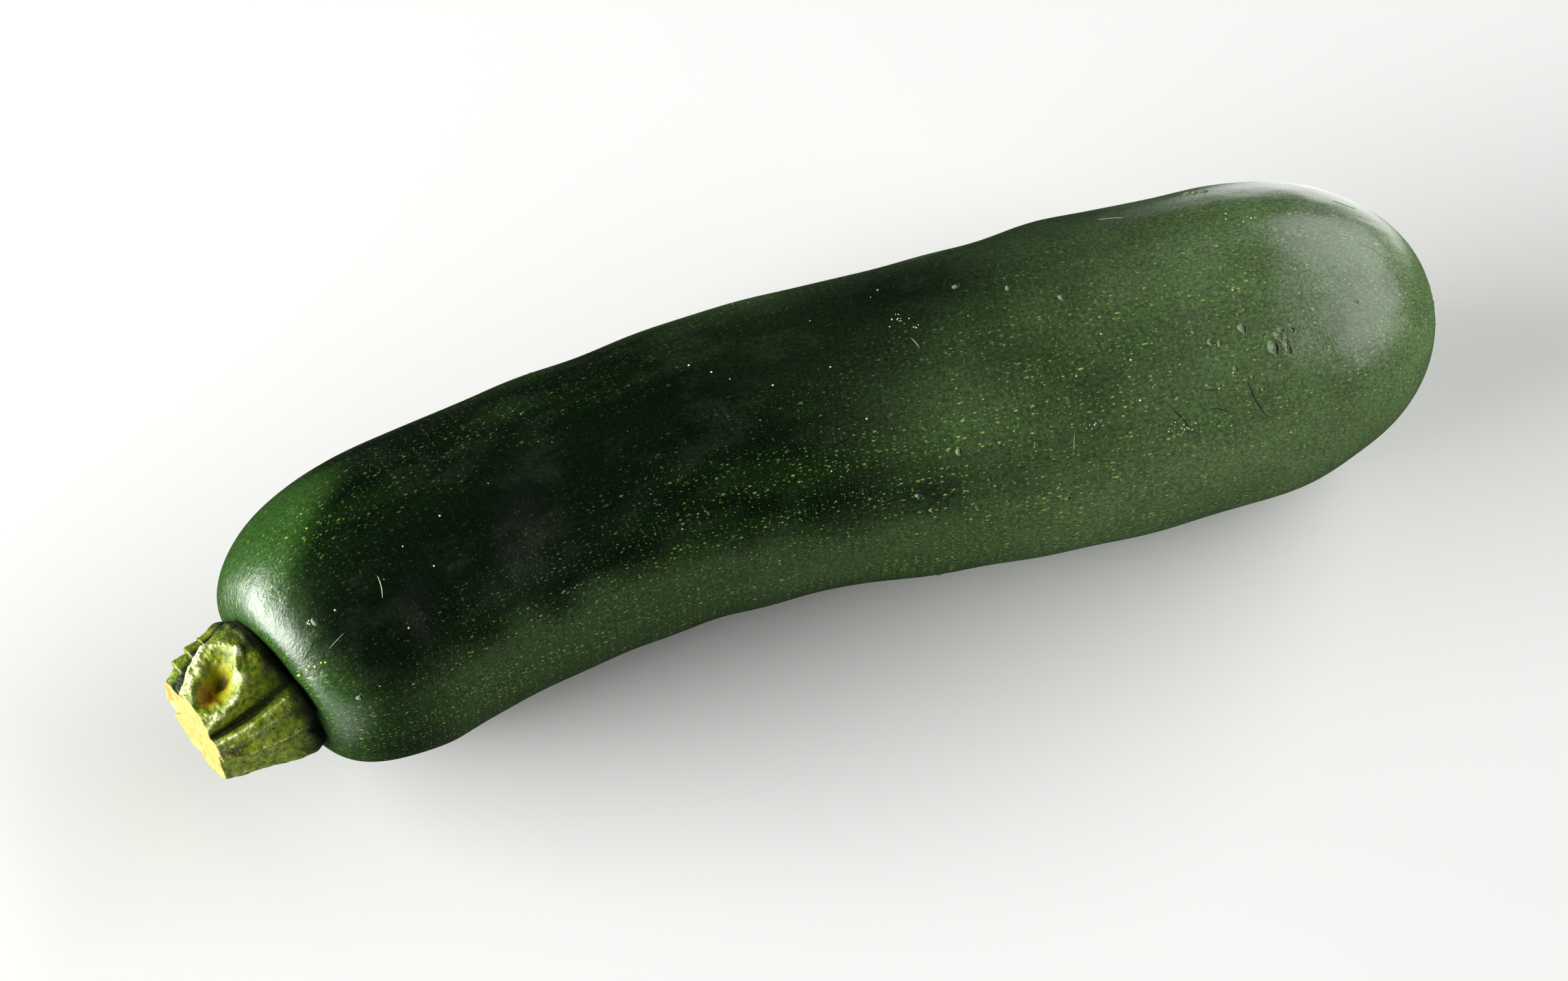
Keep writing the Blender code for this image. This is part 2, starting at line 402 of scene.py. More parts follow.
def skin_relief(along, angle, radius):
    """How far ribs and dents move the skin: ribs as a share of the radius, dents as a sum of waves."""
    turn = np.radians(angle - FIRST_RIB_ANGLE) * RIBS
    rib_wave = (1.0 - RIB_SHARPNESS) * np.cos(turn) + RIB_SHARPNESS * np.cos(2 * turn)
    fade = np.exp(-along / RIB_FADE_LENGTH)
    relief = (RIB_SHARE_ALONG + (RIB_SHARE_AT_SHOULDER - RIB_SHARE_ALONG) * fade) * radius * rib_wave
    ends = smooth_step(along / DENT_FADE_LENGTH) * smooth_step((FRUIT_LENGTH - along) / DENT_FADE_LENGTH)
    for height, length, turns, phase in DENTS:
        wave = np.sin(2 * math.pi * along / length + turns * np.radians(angle) + phase)
        relief = relief + height * ends * wave
    return relief


def skin_point(along, angle):
    """A point of the rind: middle line + reach * (cos(angle) * side + sin(angle) * up), above the floor.

    The rind's own angles run from 270 to 630, so that only marks, with angles near 90, are set nearer.
    """
    along = np.asarray(along, float)
    radius = fruit_radius(along)
    reach = radius + skin_relief(along, angle, radius) - SKIN_INSET
    nearer = NEARER_BY * hump((angle - NEARER_ANGLE) / NEARER_SPREAD)
    placed = along - nearer * (1.0 - smooth_step((radius - NEARER_END_RADIUS) / NEARER_END_WIDTH))
    across, up = polar(reach, angle)
    flat = spine_point(placed) + across[..., None] * spine_side(placed)
    height = np.maximum(girth(along) - BELLY_FLAT_DEPTH + up, LOWEST_SKIN)
    return np.concatenate([flat, height[..., None]], axis=-1)


def lifted(along, angle, lift):
    """Points at a height above the rind, along its normal, from two short steps along and around it."""
    here = skin_point(along, angle)
    forward = skin_point(along + 0.1, angle) - here
    around = skin_point(along, angle + 0.2) - here
    return held_in(here + np.asarray(lift)[..., None] * unit(np.cross(around, forward)))


# Lines that run down the stalk, seen from above: angles from the cut's facing side at each station height,
# height above the plain profile at each, how corky the line is, and where its cork begins
STALK_STATIONS = (0.0, 5.0, 10.0, 15.6)
STALK_LINES = (
    ((-163, -160, -157, -153), (0, 0.2, 0.2, 0), 0.6, 2),
    ((-151, -149, -146, -142), (-1.6, -1.8, -2, -2.1), 0, 0),
    ((-139, -136, -133, -129), (0, 0.2, 0.2, 0.1), 0.6, 2),
    ((-118, -115, -112, -108), (0.1, -0.2, -0.2, -0.2), 0.1, 2),
    ((-97, -94, -91, -87), (0, 0.1, 0.1, 0), 0.15, 2),
    ((-80, -77, -70, -58), (-1.6, -1.9, -2.2, -2.2), 0, 0),
    ((-66, -62, -55, -41), (0, 0.1, 0.5, 0.4), 0.9, 5),
    ((-40, -36, -28, -14), (0.2, 0.2, 0, 0), 0, 0),
    ((-17, -13, -2, 8), (0, 0.5, 0.8, 0.5), 1, 4.6),
    ((-7, 1, 9, 15), (-0.5, -0.6, -0.8, -1.1), 0.05, 4),
    ((8, 14, 19, 21), (-1, -1.4, -1.8, -1.9), 0, 0),
    ((15, 18, 22, 26), (-0.1, 0.4, 0.5, 0.3), 1, 1.6),
    ((21, 26, 30, 34), (0, 0.3, 0.4, 0.2), 0.8, 1.6),
    ((29, 35, 38, 41), (0.1, -0.1, -0.2, -0.2), 0.1, 2),
    ((40, 47, 48, 48), (0.1, 0.4, 0.4, 0.3), 0.7, 2),
    ((45, 52, 53, 53), (-1.3, -2, -2.1, -1.9), 0, 0),
    ((62, 65, 69, 74), (-1.8, -2, -2, -2.1), 0, 0),
    ((83, 86, 89, 93), (0, 0, 0, 0), 0.2, 2),
    ((105, 108, 111, 115), (0.1, -0.1, -0.1, -0.1), 0, 0),
    ((127, 130, 133, 137), (0, 0.2, 0.2, 0.1), 0.5, 2),
    ((143, 146, 149, 153), (-1.7, -1.9, -2, -2.1), 0, 0),
    ((159, 162, 165, 169), (0, 0.2, 0.2, 0.1), 0.6, 2),
)
LINE_SOFTNESS = 0.6
CORK_FALL = 2.5
CORK_FADE = 2.4
UNDERCUT_LINE = 15
UNDERCUT_SLIDE = 5.0
UNDERCUT_WIDTH = 4.0
UNDERCUT_RISE = 4.0
UNDERSIDE_ANGLE = 42.0

# The torn hollow: an oval bowl across the widest ridge, with a raised rim. The spots are rounds on the
# unrolled side, as height, angle and radius: the sunken core, darkened with painted shade, the amber wall
# towards the cut, partly its own colour and partly painted light shining through it, and the browned patch by
# the cut
HOLLOW_ANGLE = -22.0
HOLLOW_HEIGHT = 10.2
HOLLOW_LONG = 6.2
HOLLOW_SHORT = 3.7
HOLLOW_LEAN = 45.0
HOLLOW_DEPTH = 2.9
HOLLOW_FULLNESS = 0.75
CORE_DEPTH = 1.0
AMBER_RISE = 3.0
RIM_HEIGHT = 0.55
RIM_PLACE = 1.1
RIM_SPREAD = 0.2
STALK_SPOTS = {
    "core": (8.7, -24.0, 2.3),
    "amber": (12.6, -23.0, 2.4),
    "stain": (13.3, 40.0, 1.5),
}

# Torn edges: start and end as (height, angle), how proud, how wide
TORN_EDGES = (
    ((4.0, -32.0), (7.6, -15.0), 0.8, 0.6),
    ((8.3, -55.0), (12.5, -50.0), 0.5, 0.8),
    ((12.0, -9.0), (14.2, -3.0), 0.4, 0.7),
)

# Teeth on the outline: heights where each starts and breaks off, and how proud it gets
TEETH = (
    (4.4, 6.2, 0.35),
    (6.4, 9.3, 0.75),
    (9.9, 12.6, 1.05),
)
TEETH_ANGLE = -89.0
TEETH_SPREAD = 9.0

# Stalk grid. The cut face is set in, dished behind a lip, and dips at the pith, and its colour begins at
# CUT_EDGE of the height. The root goes on below the seat and closes inwards
STALK_SIDES = 480
STALK_ROWS = 150
CUT_ROWS = 26
CUT_INSET = 0.16
CUT_DISH = 0.35
CUT_LIP = 0.15
PITH_DIP = 0.5
PITH_SPREAD = 0.2
CUT_EDGE = 0.985
ROOT_SINK = 0.9
ROOT_CLOSING = 0.5

# Noises on the stalk and on its cut face: height or share, cell size and seed
LUMPS = (
    (1.0, 2.6, 3),
    (0.5, 1.1, 4),
)
CUT_LUMPS = (
    (0.12, 1.3, 7),
    (0.06, 0.5, 8),
)
GRAIN_CELL = 0.4
MOTTLE_CELL = 1.1

# How the noises rag the hollow, mottle its rim and the cork, and roughen the skin from the root up
HOLLOW_RAG = 0.1
RIM_SHARE = 0.7
RIM_MOTTLE = 0.5
CORK_SHARE = 0.8
CORK_MOTTLE = 0.6
CORK_ON_TORN = 0.9
CORK_ON_RIM = 0.6
LUMP_START = -0.5
LUMP_RISE = 3.0
GRAIN_ON_SKIN = 0.2

# Depths between which a groove darkens with painted shade
GROOVE_START = 0.4
GROOVE_RANGE = 1.1


def seen_angle(angle):
    """Angle from the side that the cut faces, from -180 to 180."""
    return turn_from(angle, CUT_FACES_ANGLE)


def stalk_profile(height):
    """Radius of the stalk on its ridges: it swells from the root and then narrows to the cut."""
    raised = np.maximum(height, 0.0)
    swell = np.sqrt(np.clip(raised / BULGE_HEIGHT, 0.0, 1.0))
    root = ROOT_RADIUS + (BULGE_RADIUS - ROOT_RADIUS) * swell
    return root - (BULGE_RADIUS - CUT_RADIUS) * (raised / STALK_LENGTH) ** TAPER_POWER


def stalk_lines(height, seen):
    """Relief and cork between the lines: each two neighbours are joined by a soft ramp around the stalk."""
    relief = np.zeros(np.broadcast(height, seen).shape)
    cork = np.zeros_like(relief)
    angles = [smooth_curve(STALK_STATIONS, line[0], height) for line in STALK_LINES]
    heights = [smooth_curve(STALK_STATIONS, line[1], height) for line in STALK_LINES]
    for first in range(len(STALK_LINES)):
        second = (first + 1) % len(STALK_LINES)
        turn = angles[second] - angles[first] + (360.0 if second == 0 else 0.0)
        share = ((seen - angles[first]) % 360.0) / turn
        inside = share < 1.0
        ramp = share + LINE_SOFTNESS * (smooth_step(share) - share)
        relief = np.where(inside, heights[first] + (heights[second] - heights[first]) * ramp, relief)
        crust = 0.0
        for line, nearness in ((first, 1.0 - share), (second, share)):
            corky, start = STALK_LINES[line][2:]
            grown = smooth_step((height - start) / CORK_FADE)
            crust = crust + corky * np.clip(nearness, 0.0, 1.0) ** CORK_FALL * grown
        cork = np.where(inside, crust, cork)
    return relief, np.clip(cork, 0.0, 1.0), angles[UNDERCUT_LINE]


def unrolled(seen, angle, height):
    """Distance around from an angle, on the side of the stalk unrolled as it is at that height."""
    return np.radians(seen - angle) * stalk_profile(height)


def hollow_out(height, seen):
    """Oval distance from the hollow's middle on the unrolled side of the stalk, 1 at its edge."""
    across = unrolled(seen, HOLLOW_ANGLE, HOLLOW_HEIGHT)
    up = height - HOLLOW_HEIGHT
    lean = math.radians(HOLLOW_LEAN)
    lengthways = (across * math.cos(lean) + up * math.sin(lean)) / HOLLOW_LONG
    crossways = (up * math.cos(lean) - across * math.sin(lean)) / HOLLOW_SHORT
    return np.hypot(lengthways, crossways)


def spot_share(height, seen, spot):
    """A bell around a spot on the unrolled side of the stalk: 1 in its middle, 0.37 at its radius."""
    middle, angle, radius = STALK_SPOTS[spot]
    return hump(np.hypot(height - middle, unrolled(seen, angle, middle)) / radius)


def torn_edges(height, seen):
    """Ridges along the torn edges: a bell across each straight piece on the unrolled side."""
    relief = np.zeros(np.broadcast(height, seen).shape)
    for (low, first), (high, second), proud, width in TORN_EDGES:
        middle = 0.5 * (low + high)
        way = np.array([high - low, unrolled(second, first, middle)])
        from_start = stacked(height - low, unrolled(seen, first, middle))
        share = np.clip(from_start @ way / (way @ way), 0.0, 1.0)
        away = np.linalg.norm(from_start - share[..., None] * way, axis=-1)
        relief = np.maximum(relief, proud * hump(away / width))
    return relief


def teeth(height, seen):
    """Torn teeth: each rises towards the cut and breaks off."""
    relief = np.zeros(np.broadcast(height, seen).shape)
    for start, end, proud in TEETH:
        share = (height - start) / (end - start)
        relief = relief + np.where((share > 0) & (share < 1), proud * share, 0.0)
    return relief * hump((seen - TEETH_ANGLE) / TEETH_SPREAD)


def stalk_place(height, reach, angle, sink=0.0):
    """A point of the stalk: seat + along * axis + across and up, from a root on the seat to the cut."""
    heading = math.radians(STALK_HEADING)
    axis = np.array([math.cos(heading), math.sin(heading), 0.0])
    side = np.array([axis[1], -axis[0], 0.0])
    up = np.array([0.0, 0.0, 1.0])
    seat = np.array([*SPINE[0], girth(0.0) - BELLY_FLAT_DEPTH])
    seat_normal = -np.array([*spine_heading(np.array(0.0)), 0.0])
    across, upwards = polar(reach, angle)
    sideways = STALK_SIDE_STEP + across
    share = height / STALK_LENGTH
    root_along = (STALK_GAP - sideways * (side @ seat_normal)) / (axis @ seat_normal)
    cut_drop = math.tan(math.radians(CUT_TILT)) * polar(reach, angle - CUT_FACES_ANGLE)[0]
    along = (1.0 - share) * root_along + share * (STALK_GAP + STALK_LENGTH - cut_drop) - sink
    return seat + along[..., None] * axis + sideways[..., None] * side + upwards[..., None] * up


def stalk_wall(settings):
    """The stalk's side as a grid of rows by sides: height, angle, reach, and the values its finish needs."""
    angle = side_angles(STALK_SIDES)
    height = np.linspace(-ROOT_SINK, STALK_LENGTH, STALK_ROWS)[:, None]
    seen = seen_angle(angle)
    relief, cork, undercut = stalk_lines(np.maximum(height, 0.0), seen)
    plain = stalk_profile(height) + relief
    place = stacked(height, *polar(plain, angle))
    lumps = noise_sum(place, LUMPS)
    grain = smooth_noise(place, GRAIN_CELL, 5)
    mottle = smooth_noise(place, MOTTLE_CELL, 6)

    out = hollow_out(height, seen) + HOLLOW_RAG * lumps
    bowl = smooth_step(1.0 - out) ** HOLLOW_FULLNESS
    rim = hump((out - RIM_PLACE) / RIM_SPREAD) * (RIM_SHARE + RIM_MOTTLE * mottle)
    # The core is a sunken dip that is also darkened with painted shade
    core = spot_share(height, seen, "core") * bowl
    torn = torn_edges(height, seen)
    cork = cork * (1.0 - bowl) + CORK_ON_TORN * torn + CORK_ON_RIM * rim * (seen < HOLLOW_ANGLE)
    cork = np.clip(cork * (CORK_SHARE + CORK_MOTTLE * mottle), 0.0, 1.0)
    rough = settings.lump_height / MM * lumps * smooth_step((height - LUMP_START) / LUMP_RISE)
    rough = rough + settings.cork_grain / MM * grain * (GRAIN_ON_SKIN + cork)
    reach = plain - HOLLOW_DEPTH * bowl - CORE_DEPTH * core + RIM_HEIGHT * rim
    reach = reach + torn + teeth(height, seen) + rough
    slide = UNDERCUT_SLIDE * hump((seen - undercut) / UNDERCUT_WIDTH) * smooth_step(height / UNDERCUT_RISE)
    values = {
        "cork": cork,
        "hollow": bowl,
        "core": core,
        # Painted light: the wall towards the cut is amber, partly its own colour and partly light shining
        # through it
        "amber": spot_share(height, seen, "amber") * smooth_step(AMBER_RISE * bowl),
        "stain": spot_share(height, seen, "stain"),
        # Painted shade in the grooves, by their depth
        "groove": smooth_step((-relief - GROOVE_START) / GROOVE_RANGE) * (seen < UNDERSIDE_ANGLE),
    }
    return height, angle - slide, reach, values


def build_stalk(settings):
    """Points, faces and point values of the whole stalk: root, side and cut face."""
    height, angle, reach, values = stalk_wall(settings)
    side = stalk_place(height, reach, angle)

    inward = np.linspace(1.0, 0.0, CUT_ROWS + 1)[1:-1, None]
    face_reach = reach[-1:] * inward
    face_angle = angle[-1:] + 0 * inward
    dish = CUT_DISH * smooth_step((1.0 - inward) / CUT_LIP) + PITH_DIP * hump(inward / PITH_SPREAD)
    sink = CUT_INSET + dish + noise_sum(stacked(*polar(face_reach, face_angle), 0.0), CUT_LUMPS)
    cut = stalk_place(np.full_like(inward, STALK_LENGTH), face_reach, face_angle, sink)

    root = stalk_place(np.full((1, 1), -ROOT_SINK), reach[:1] * ROOT_CLOSING, angle[:1])
    mesh_points, faces = closed_tube(np.concatenate([root, side, cut]))
    share = height / STALK_LENGTH + 0 * reach
    values["cut"] = smooth_step((share - CUT_EDGE) / (1.0 - CUT_EDGE))
    values["height"] = share
    spread = {}
    for name, middle in values.items():
        at_cut = 1.0 if name in ("cut", "height") else 0.0
        parts = (np.zeros(STALK_SIDES), middle, np.full_like(face_reach, at_cut), (0.0, at_cut))
        spread[name] = np.concatenate([np.ravel(part) for part in parts])
    return held_in(mesh_points), [group[:, ::-1] for group in faces], spread


def growth_length(along):
    """Distance that a pattern has grown: the mean of the distance along the middle line and over the skin."""
    steps = np.hypot(np.diff(along[:, 0]), np.diff(fruit_radius(along[:, 0])))
    over_skin = np.concatenate([[0.0], np.cumsum(steps)])[:, None]
    return 0.5 * (along + over_skin)


def growth_map(length, sides):
    """Map of each face corner in millimetres: grown length, and arc at the mean radius, cut at the seam."""
    ring, side = np.meshgrid(np.arange(len(length) - 1), np.arange(sides), indexing="ij")
    rows = stacked(ring, ring, ring + 1, ring + 1).ravel()
    columns = stacked(side, side + 1, side + 1, side).ravel()
    arc = columns * (2 * math.pi * GROWTH_RADIUS / sides)
    fan_corners = np.zeros((2 * sides * 3, 2))
    return np.concatenate([stacked(length[rows, 0], arc), fan_corners])


def rind_rings():
    """Distance along of each ring of the rind, closer together where the two ends curve."""
    shoulder_turn = np.radians(np.linspace(0.0, 90.0, SHOULDER_RINGS, endpoint=False))
    shoulder = SHOULDER_LENGTH * (1.0 - np.cos(shoulder_turn))
    body = np.linspace(SHOULDER_LENGTH, CROWN_START, BODY_RINGS)
    last_turn = math.acos((SCAR_RADIUS / girth(np.array(FRUIT_LENGTH))) ** (1.0 / CROWN_BLUNTING))
    crown_turn = np.linspace(0.0, last_turn, CROWN_RINGS + 1)[1:]
    crown = CROWN_START + CROWN_LENGTH * np.sin(crown_turn) ** CROWN_BLUNTING
    return np.concatenate([shoulder, body, crown])[:, None]


def rind_tones(along, angle, growth):
    """Shares of the tones of the skin, and how clear its flecks are, over distance along and angle around.

    A tone comes in with a smooth step along or around, or as a bell around, and noise makes its edge waver.
    The darkest tone is partly painted shade, the blossom end's paler tone partly painted sheen, and the
    belly's paler tone partly painted reflection of the lit floor; the flecks are fainter under the painted
    shade.
    """
    waver = smooth_noise(growth * np.array([WAVER_STRETCH, 1.0, 1.0]), WAVER_CELL, 1)
    mottle = smooth_noise(growth, PATCH_CELL, 2)
    low = np.abs(turn_from(angle, RIND_SEAM_ANGLE))
    # Painted reflection: the belly is paler, partly its own olive and partly the reflection of the lit floor
    belly = smooth_step((BELLY_EDGE - low + BELLY_WAVER * waver + BELLY_MOTTLE * mottle) / BELLY_SOFTNESS)
    belly = belly * smooth_step((along - BELLY_START) / BELLY_START_LENGTH)
    farther = SHOULDER_FARTHER * hump(turn_from(angle, SHOULDER_FARTHER_ANGLE) / SHOULDER_FARTHER_SPREAD)
    shoulder = smooth_step((SHOULDER_END + farther - along + SHOULDER_WAVER * waver) / SHOULDER_SOFTNESS)
    # Painted shade: a darker band over the upper middle, partly the skin's own dark green, fading towards the
    # blossom end
    dark_and_shade = 1.0 - smooth_step((along - DEEP_FADE_START + DEEP_WAVER * waver) / DEEP_FADE_LENGTH)
    turned = turn_from(angle, DEEP_ANGLE) + DEEP_TURN * (along - DEEP_ALONG)
    dark_and_shade = DEEP_SHARE * dark_and_shade * hump(turned / DEEP_SPREAD) * (1.0 - belly) * (1.0 - shoulder)
    # Painted sheen: the blossom end is paler, partly its own paler green and partly the sheen of the light
    # beyond it
    pale_end_and_sheen = smooth_step((along - PALE_END_START + PALE_END_WAVER * waver) / PALE_END_LENGTH)
    pale_end_and_sheen = pale_end_and_sheen * (PALE_END_SHARE + PALE_END_MOTTLE * mottle)
    pale_end_and_sheen = pale_end_and_sheen * (1.0 - PALE_END_SHADED * dark_and_shade) * (1.0 + PALE_END_BELOW * belly)
    faint = FAINT_SHARE * hump(turn_from(angle, FAINT_ANGLE) / FAINT_SPREAD)
    return pale_end_and_sheen, shoulder, belly, dark_and_shade, (1.0 - dark_and_shade) * (1.0 - faint)


def scar_edge():
    """Distance along where the flower scar begins."""
    return float(rind_rings()[-1, 0])


# Flower scar: radius and height in front of its edge, from the edge to the middle
SCAR_SHAPE = (
    (6.9, -0.45),
    (6.5, 0.02),
    (6.0, 0.24),
    (5.4, 0.30),
    (4.7, 0.10),
    (3.6, -0.20),
    (2.4, -0.10),
    (1.4, 0.14),
    (0.6, 0.02),
)
SCAR_ROWS = 60
SCAR_SIDES = 180

# Wrinkles of the scar: number, height, how far they wander and the cell size of that. They and the lumps fade
# towards the middle and the rim, and lie a little deeper than the plain shape
SCAR_WRINKLES = 34
WRINKLE_HEIGHT = 0.07
WRINKLE_WANDER = 3.75
WRINKLE_CELL = 2.2
SCAR_LUMPS = (
    (0.10, 1.1, 12),
    (0.05, 0.45, 13),
)
SCAR_MIDDLE = 2.0
SCAR_RIM = 0.8
SCAR_DROP = 0.1
SCAR_RAG = 0.03
SCAR_RAG_CELL = 4.0


def build_scar():
    """The scar as rings round the blossom end: the shape's radius and height, with radial wrinkles."""
    radii, proud = np.array(SCAR_SHAPE)[::-1].T
    radius = np.linspace(radii[-1], radii[0], SCAR_ROWS)[:, None]
    angle = side_angles(SCAR_SIDES)
    across, upwards = polar(radius, angle)
    flat = stacked(across, upwards, 0.0)
    wander = WRINKLE_WANDER * smooth_noise(flat, WRINKLE_CELL, 11)
    wrinkle = WRINKLE_HEIGHT * np.cos(np.radians(angle) * SCAR_WRINKLES + wander)
    inner = smooth_step(radius / SCAR_MIDDLE) * smooth_step((radii[-1] - radius) / SCAR_RIM)
    height = smooth_curve(radii, proud, radius) + inner * (wrinkle + noise_sum(flat, SCAR_LUMPS) - SCAR_DROP)
    along = scar_edge() + height
    across = across * (1.0 + SCAR_RAG * smooth_noise(flat, SCAR_RAG_CELL, 14))
    ground = spine_point(along) + across[..., None] * spine_side(np.full_like(along, scar_edge()))
    up = girth(np.array(scar_edge())) - BELLY_FLAT_DEPTH + upwards
    mesh_points, faces = closed_tube(np.concatenate([ground, up[..., None]], axis=-1))
    outer = np.broadcast_to(radius, across.shape)
    return mesh_points, faces, np.concatenate([outer.ravel(), outer[[0, -1], 0]])


# Healed marks on the rind: place along, angle, half length, half width, lean, and height
MARKS = (
    (164, 116, 0.46, 0.4, 80, 0.2),
    (165.5, 117, 0.5, 0.42, 80, 0.2),
    (170, 114, 0.72, 0.6, 70, 0.22),
    (167, 127, 0.5, 0.36, 60, 0.16),
    (169.5, 131, 0.3, 0.26, 0, 0.12),
    (171, 136, 0.32, 0.28, 0, 0.12),
    (174.5, 123, 1.3, 0.8, 85, 0.26),
    (176, 120, 1.0, 0.7, 40, 0.22),
    (177, 123, 1.5, 0.62, 88, 0.28),
    (176.5, 118, 0.6, 0.42, 10, 0.22),
    (178.5, 118, 0.62, 0.42, 60, 0.24),
    (180.5, 119, 0.34, 0.34, 0, 0.16),
    (170, 109, 0.36, 0.18, 60, 0.1),
    (171, 106, 0.22, 0.2, 0, 0.1),
    (192, 113, 0.4, 0.28, 50, 0.1),
    (196.5, 145, 0.3, 0.22, 80, 0.1),
    (172.5, 44, 0.7, 0.5, 10, 0.22),
    (173.5, 45, 0.5, 0.45, 40, 0.24),
    (175, 46, 0.6, 0.4, 0, 0.2),
    (142.5, 88, 0.52, 0.4, 75, 0.07),
    (121, 133, 0.56, 0.44, 80, 0.2),
    (134.5, 79, 0.4, 0.3, 80, 0.12),
    (126.5, 71, 0.6, 0.42, 0, 0.12),
    (113.5, 147, 0.42, 0.34, 40, 0.14),
    (115.5, 154, 0.38, 0.3, 40, 0.14),
    (137.5, 160, 0.42, 0.32, 0, 0.14),
    (6.5, 104, 0.62, 0.34, 85, 0.2),
    (5, 143, 0.5, 0.36, 10, 0.16),
    (60, 20, 0.66, 0.46, 30, 0.18),
    (118, 212, 0.6, 0.44, 10, 0.18),
    (150, 340, 0.52, 0.4, 50, 0.16),
)
MARK_ROWS = 15
MARK_SIDES = 36
MARK_SKIRT = 1.7

# Scabs: how ragged they are, the radius and the distance of the rounds in the noise that shapes them, and how
# much finer their roughness and their holes are. Distances out are shares of a scab's radius
MARK_RAG = 0.3
MARK_NOISE_ROUND = 1.5
MARK_NOISE_STEP = 7.0
ROUGH_SCALE = 2
HOLE_SCALE = 3
HOLE_START = 0.25
HOLE_RANGE = 0.3
PIT_PLACE = 0.72
PIT_SPREAD = 0.24
PIT_RIM = 0.3
PLATEAU_END = 0.7
PLATEAU_SLOPE = 0.6
SKIRT_START = 1.1
SKIRT_RANGE = 0.5
SKIRT_SINK = 0.08
SCAB_BASE = 0.02

# What rough, pit and holes do to the height, and with the slope of the scab to its shade. The shade is
# painted light and shade: paler on raised grain and towards the stalk, darker in the pit, the holes and away
# from it
ROUGH_HEIGHT = 0.4
PIT_HEIGHT = 0.8
HOLE_HEIGHT = 0.35
SHADE_MIDDLE = 0.5
SHADE_SLOPE = 0.35
SHADE_ROUGH = 0.3
SHADE_PIT = 0.9
SHADE_HOLES = 0.3


def build_marks():
    """Healed scabs: a ragged plateau, a pit on its blossom side, and a skirt that runs into the skin, with
    painted light and shade.
    """
    along, angle, half_length, half_width, lean, proud = np.array(MARKS).T[:, :, None, None]
    out = np.linspace(0.0, MARK_SKIRT, MARK_ROWS + 1)[1:][None, :, None]
    turn = side_angles(MARK_SIDES)
    index = np.arange(len(MARKS))[:, None, None]
    circle = stacked(*polar(MARK_NOISE_ROUND, turn), MARK_NOISE_STEP * index + 0 * out)
    ragged = out * (1.0 + MARK_RAG * smooth_noise(circle, 1.0, 21))
    lengthways, crossways = polar(ragged, turn)
    lengthways = half_length * lengthways
    crossways = half_width * crossways
    tilt = np.radians(lean)
    forward = lengthways * np.cos(tilt) - crossways * np.sin(tilt)
    around = lengthways * np.sin(tilt) + crossways * np.cos(tilt)
    size = np.hypot(half_length * np.cos(tilt), half_width * np.sin(tilt))
    rough = smooth_noise(circle * out[..., None] * ROUGH_SCALE, 1.0, 22)
    holes = smooth_noise(circle * out[..., None] * HOLE_SCALE, 1.0, 23)
    holes = smooth_step((holes - HOLE_START) / HOLE_RANGE)
    share = forward / size
    pit = hump((share - PIT_PLACE) / PIT_SPREAD) * (1.0 - smooth_step((out - 1.0) / PIT_RIM))
    plateau = 1.0 - smooth_step((out - PLATEAU_END) / PLATEAU_SLOPE)
    height = proud * plateau * (1.0 + ROUGH_HEIGHT * rough - PIT_HEIGHT * pit - HOLE_HEIGHT * holes)
    height = height - SKIRT_SINK * smooth_step((out - SKIRT_START) / SKIRT_RANGE) + SCAB_BASE
    # Painted light and shade: paler on raised grain and towards the stalk, darker in the pit, the holes and
    # the side away from it
    shade = SHADE_MIDDLE + SHADE_ROUGH * rough - SHADE_PIT * pit
    shade = np.clip(shade - (SHADE_SLOPE * share + SHADE_HOLES * holes) * plateau, 0.0, 1.0)
    rings = lifted(along + forward, angle + np.degrees(around / fruit_radius(along)), height)
    tips = lifted(along[:, 0, 0], angle[:, 0, 0], proud[:, 0, 0])
    points, faces = many_domes(rings, tips)
    shade = np.pad(shade.reshape(len(MARKS), -1), ((0, 0), (0, 1)), constant_values=SHADE_MIDDLE)
    return points, faces, shade.ravel()


# Scratches: width in millimetres, and places along and around
DARK_SCRATCHES = (
    (0.34, ((168.5, 132), (169, 136), (169.5, 140), (171, 146.5))),
    (0.3, ((155, 133.5), (156, 137), (157, 140.5), (157, 144.5))),
    (0.24, ((161, 131), (162.5, 132), (163.5, 132.5))),
    (0.24, ((161.5, 138), (163, 139), (164.5, 141))),
    (0.2, ((110, 116), (111, 119), (111, 122))),
    (0.2, ((195.5, 87), (197.5, 88.5), (199, 91.5), (201, 92.5), (203, 90.5))),
    (0.24, ((194.5, 59), (195.5, 60), (196.5, 61), (198, 61.5))),
)
PALE_SCRATCHES = (
    (0.18, ((117, 88.5), (117.5, 90.5), (118, 93))),
    (0.26, ((19, 105.5), (18.5, 109.5), (17.5, 113.5))),
    (0.1, ((9, 115.5), (7.5, 116), (5.5, 117))),
    (0.12, ((133, 134.5), (133, 137))),
    (0.12, ((139.5, 135), (139, 141))),
    (0.12, ((155, 51.5), (157, 52.5), (159, 54.5))),
)
SCRATCH_STEPS = 14
SCRATCH_LIFT = 0.05
SCRATCH_SINK = 0.02
NARROWEST_SHARE = 0.02


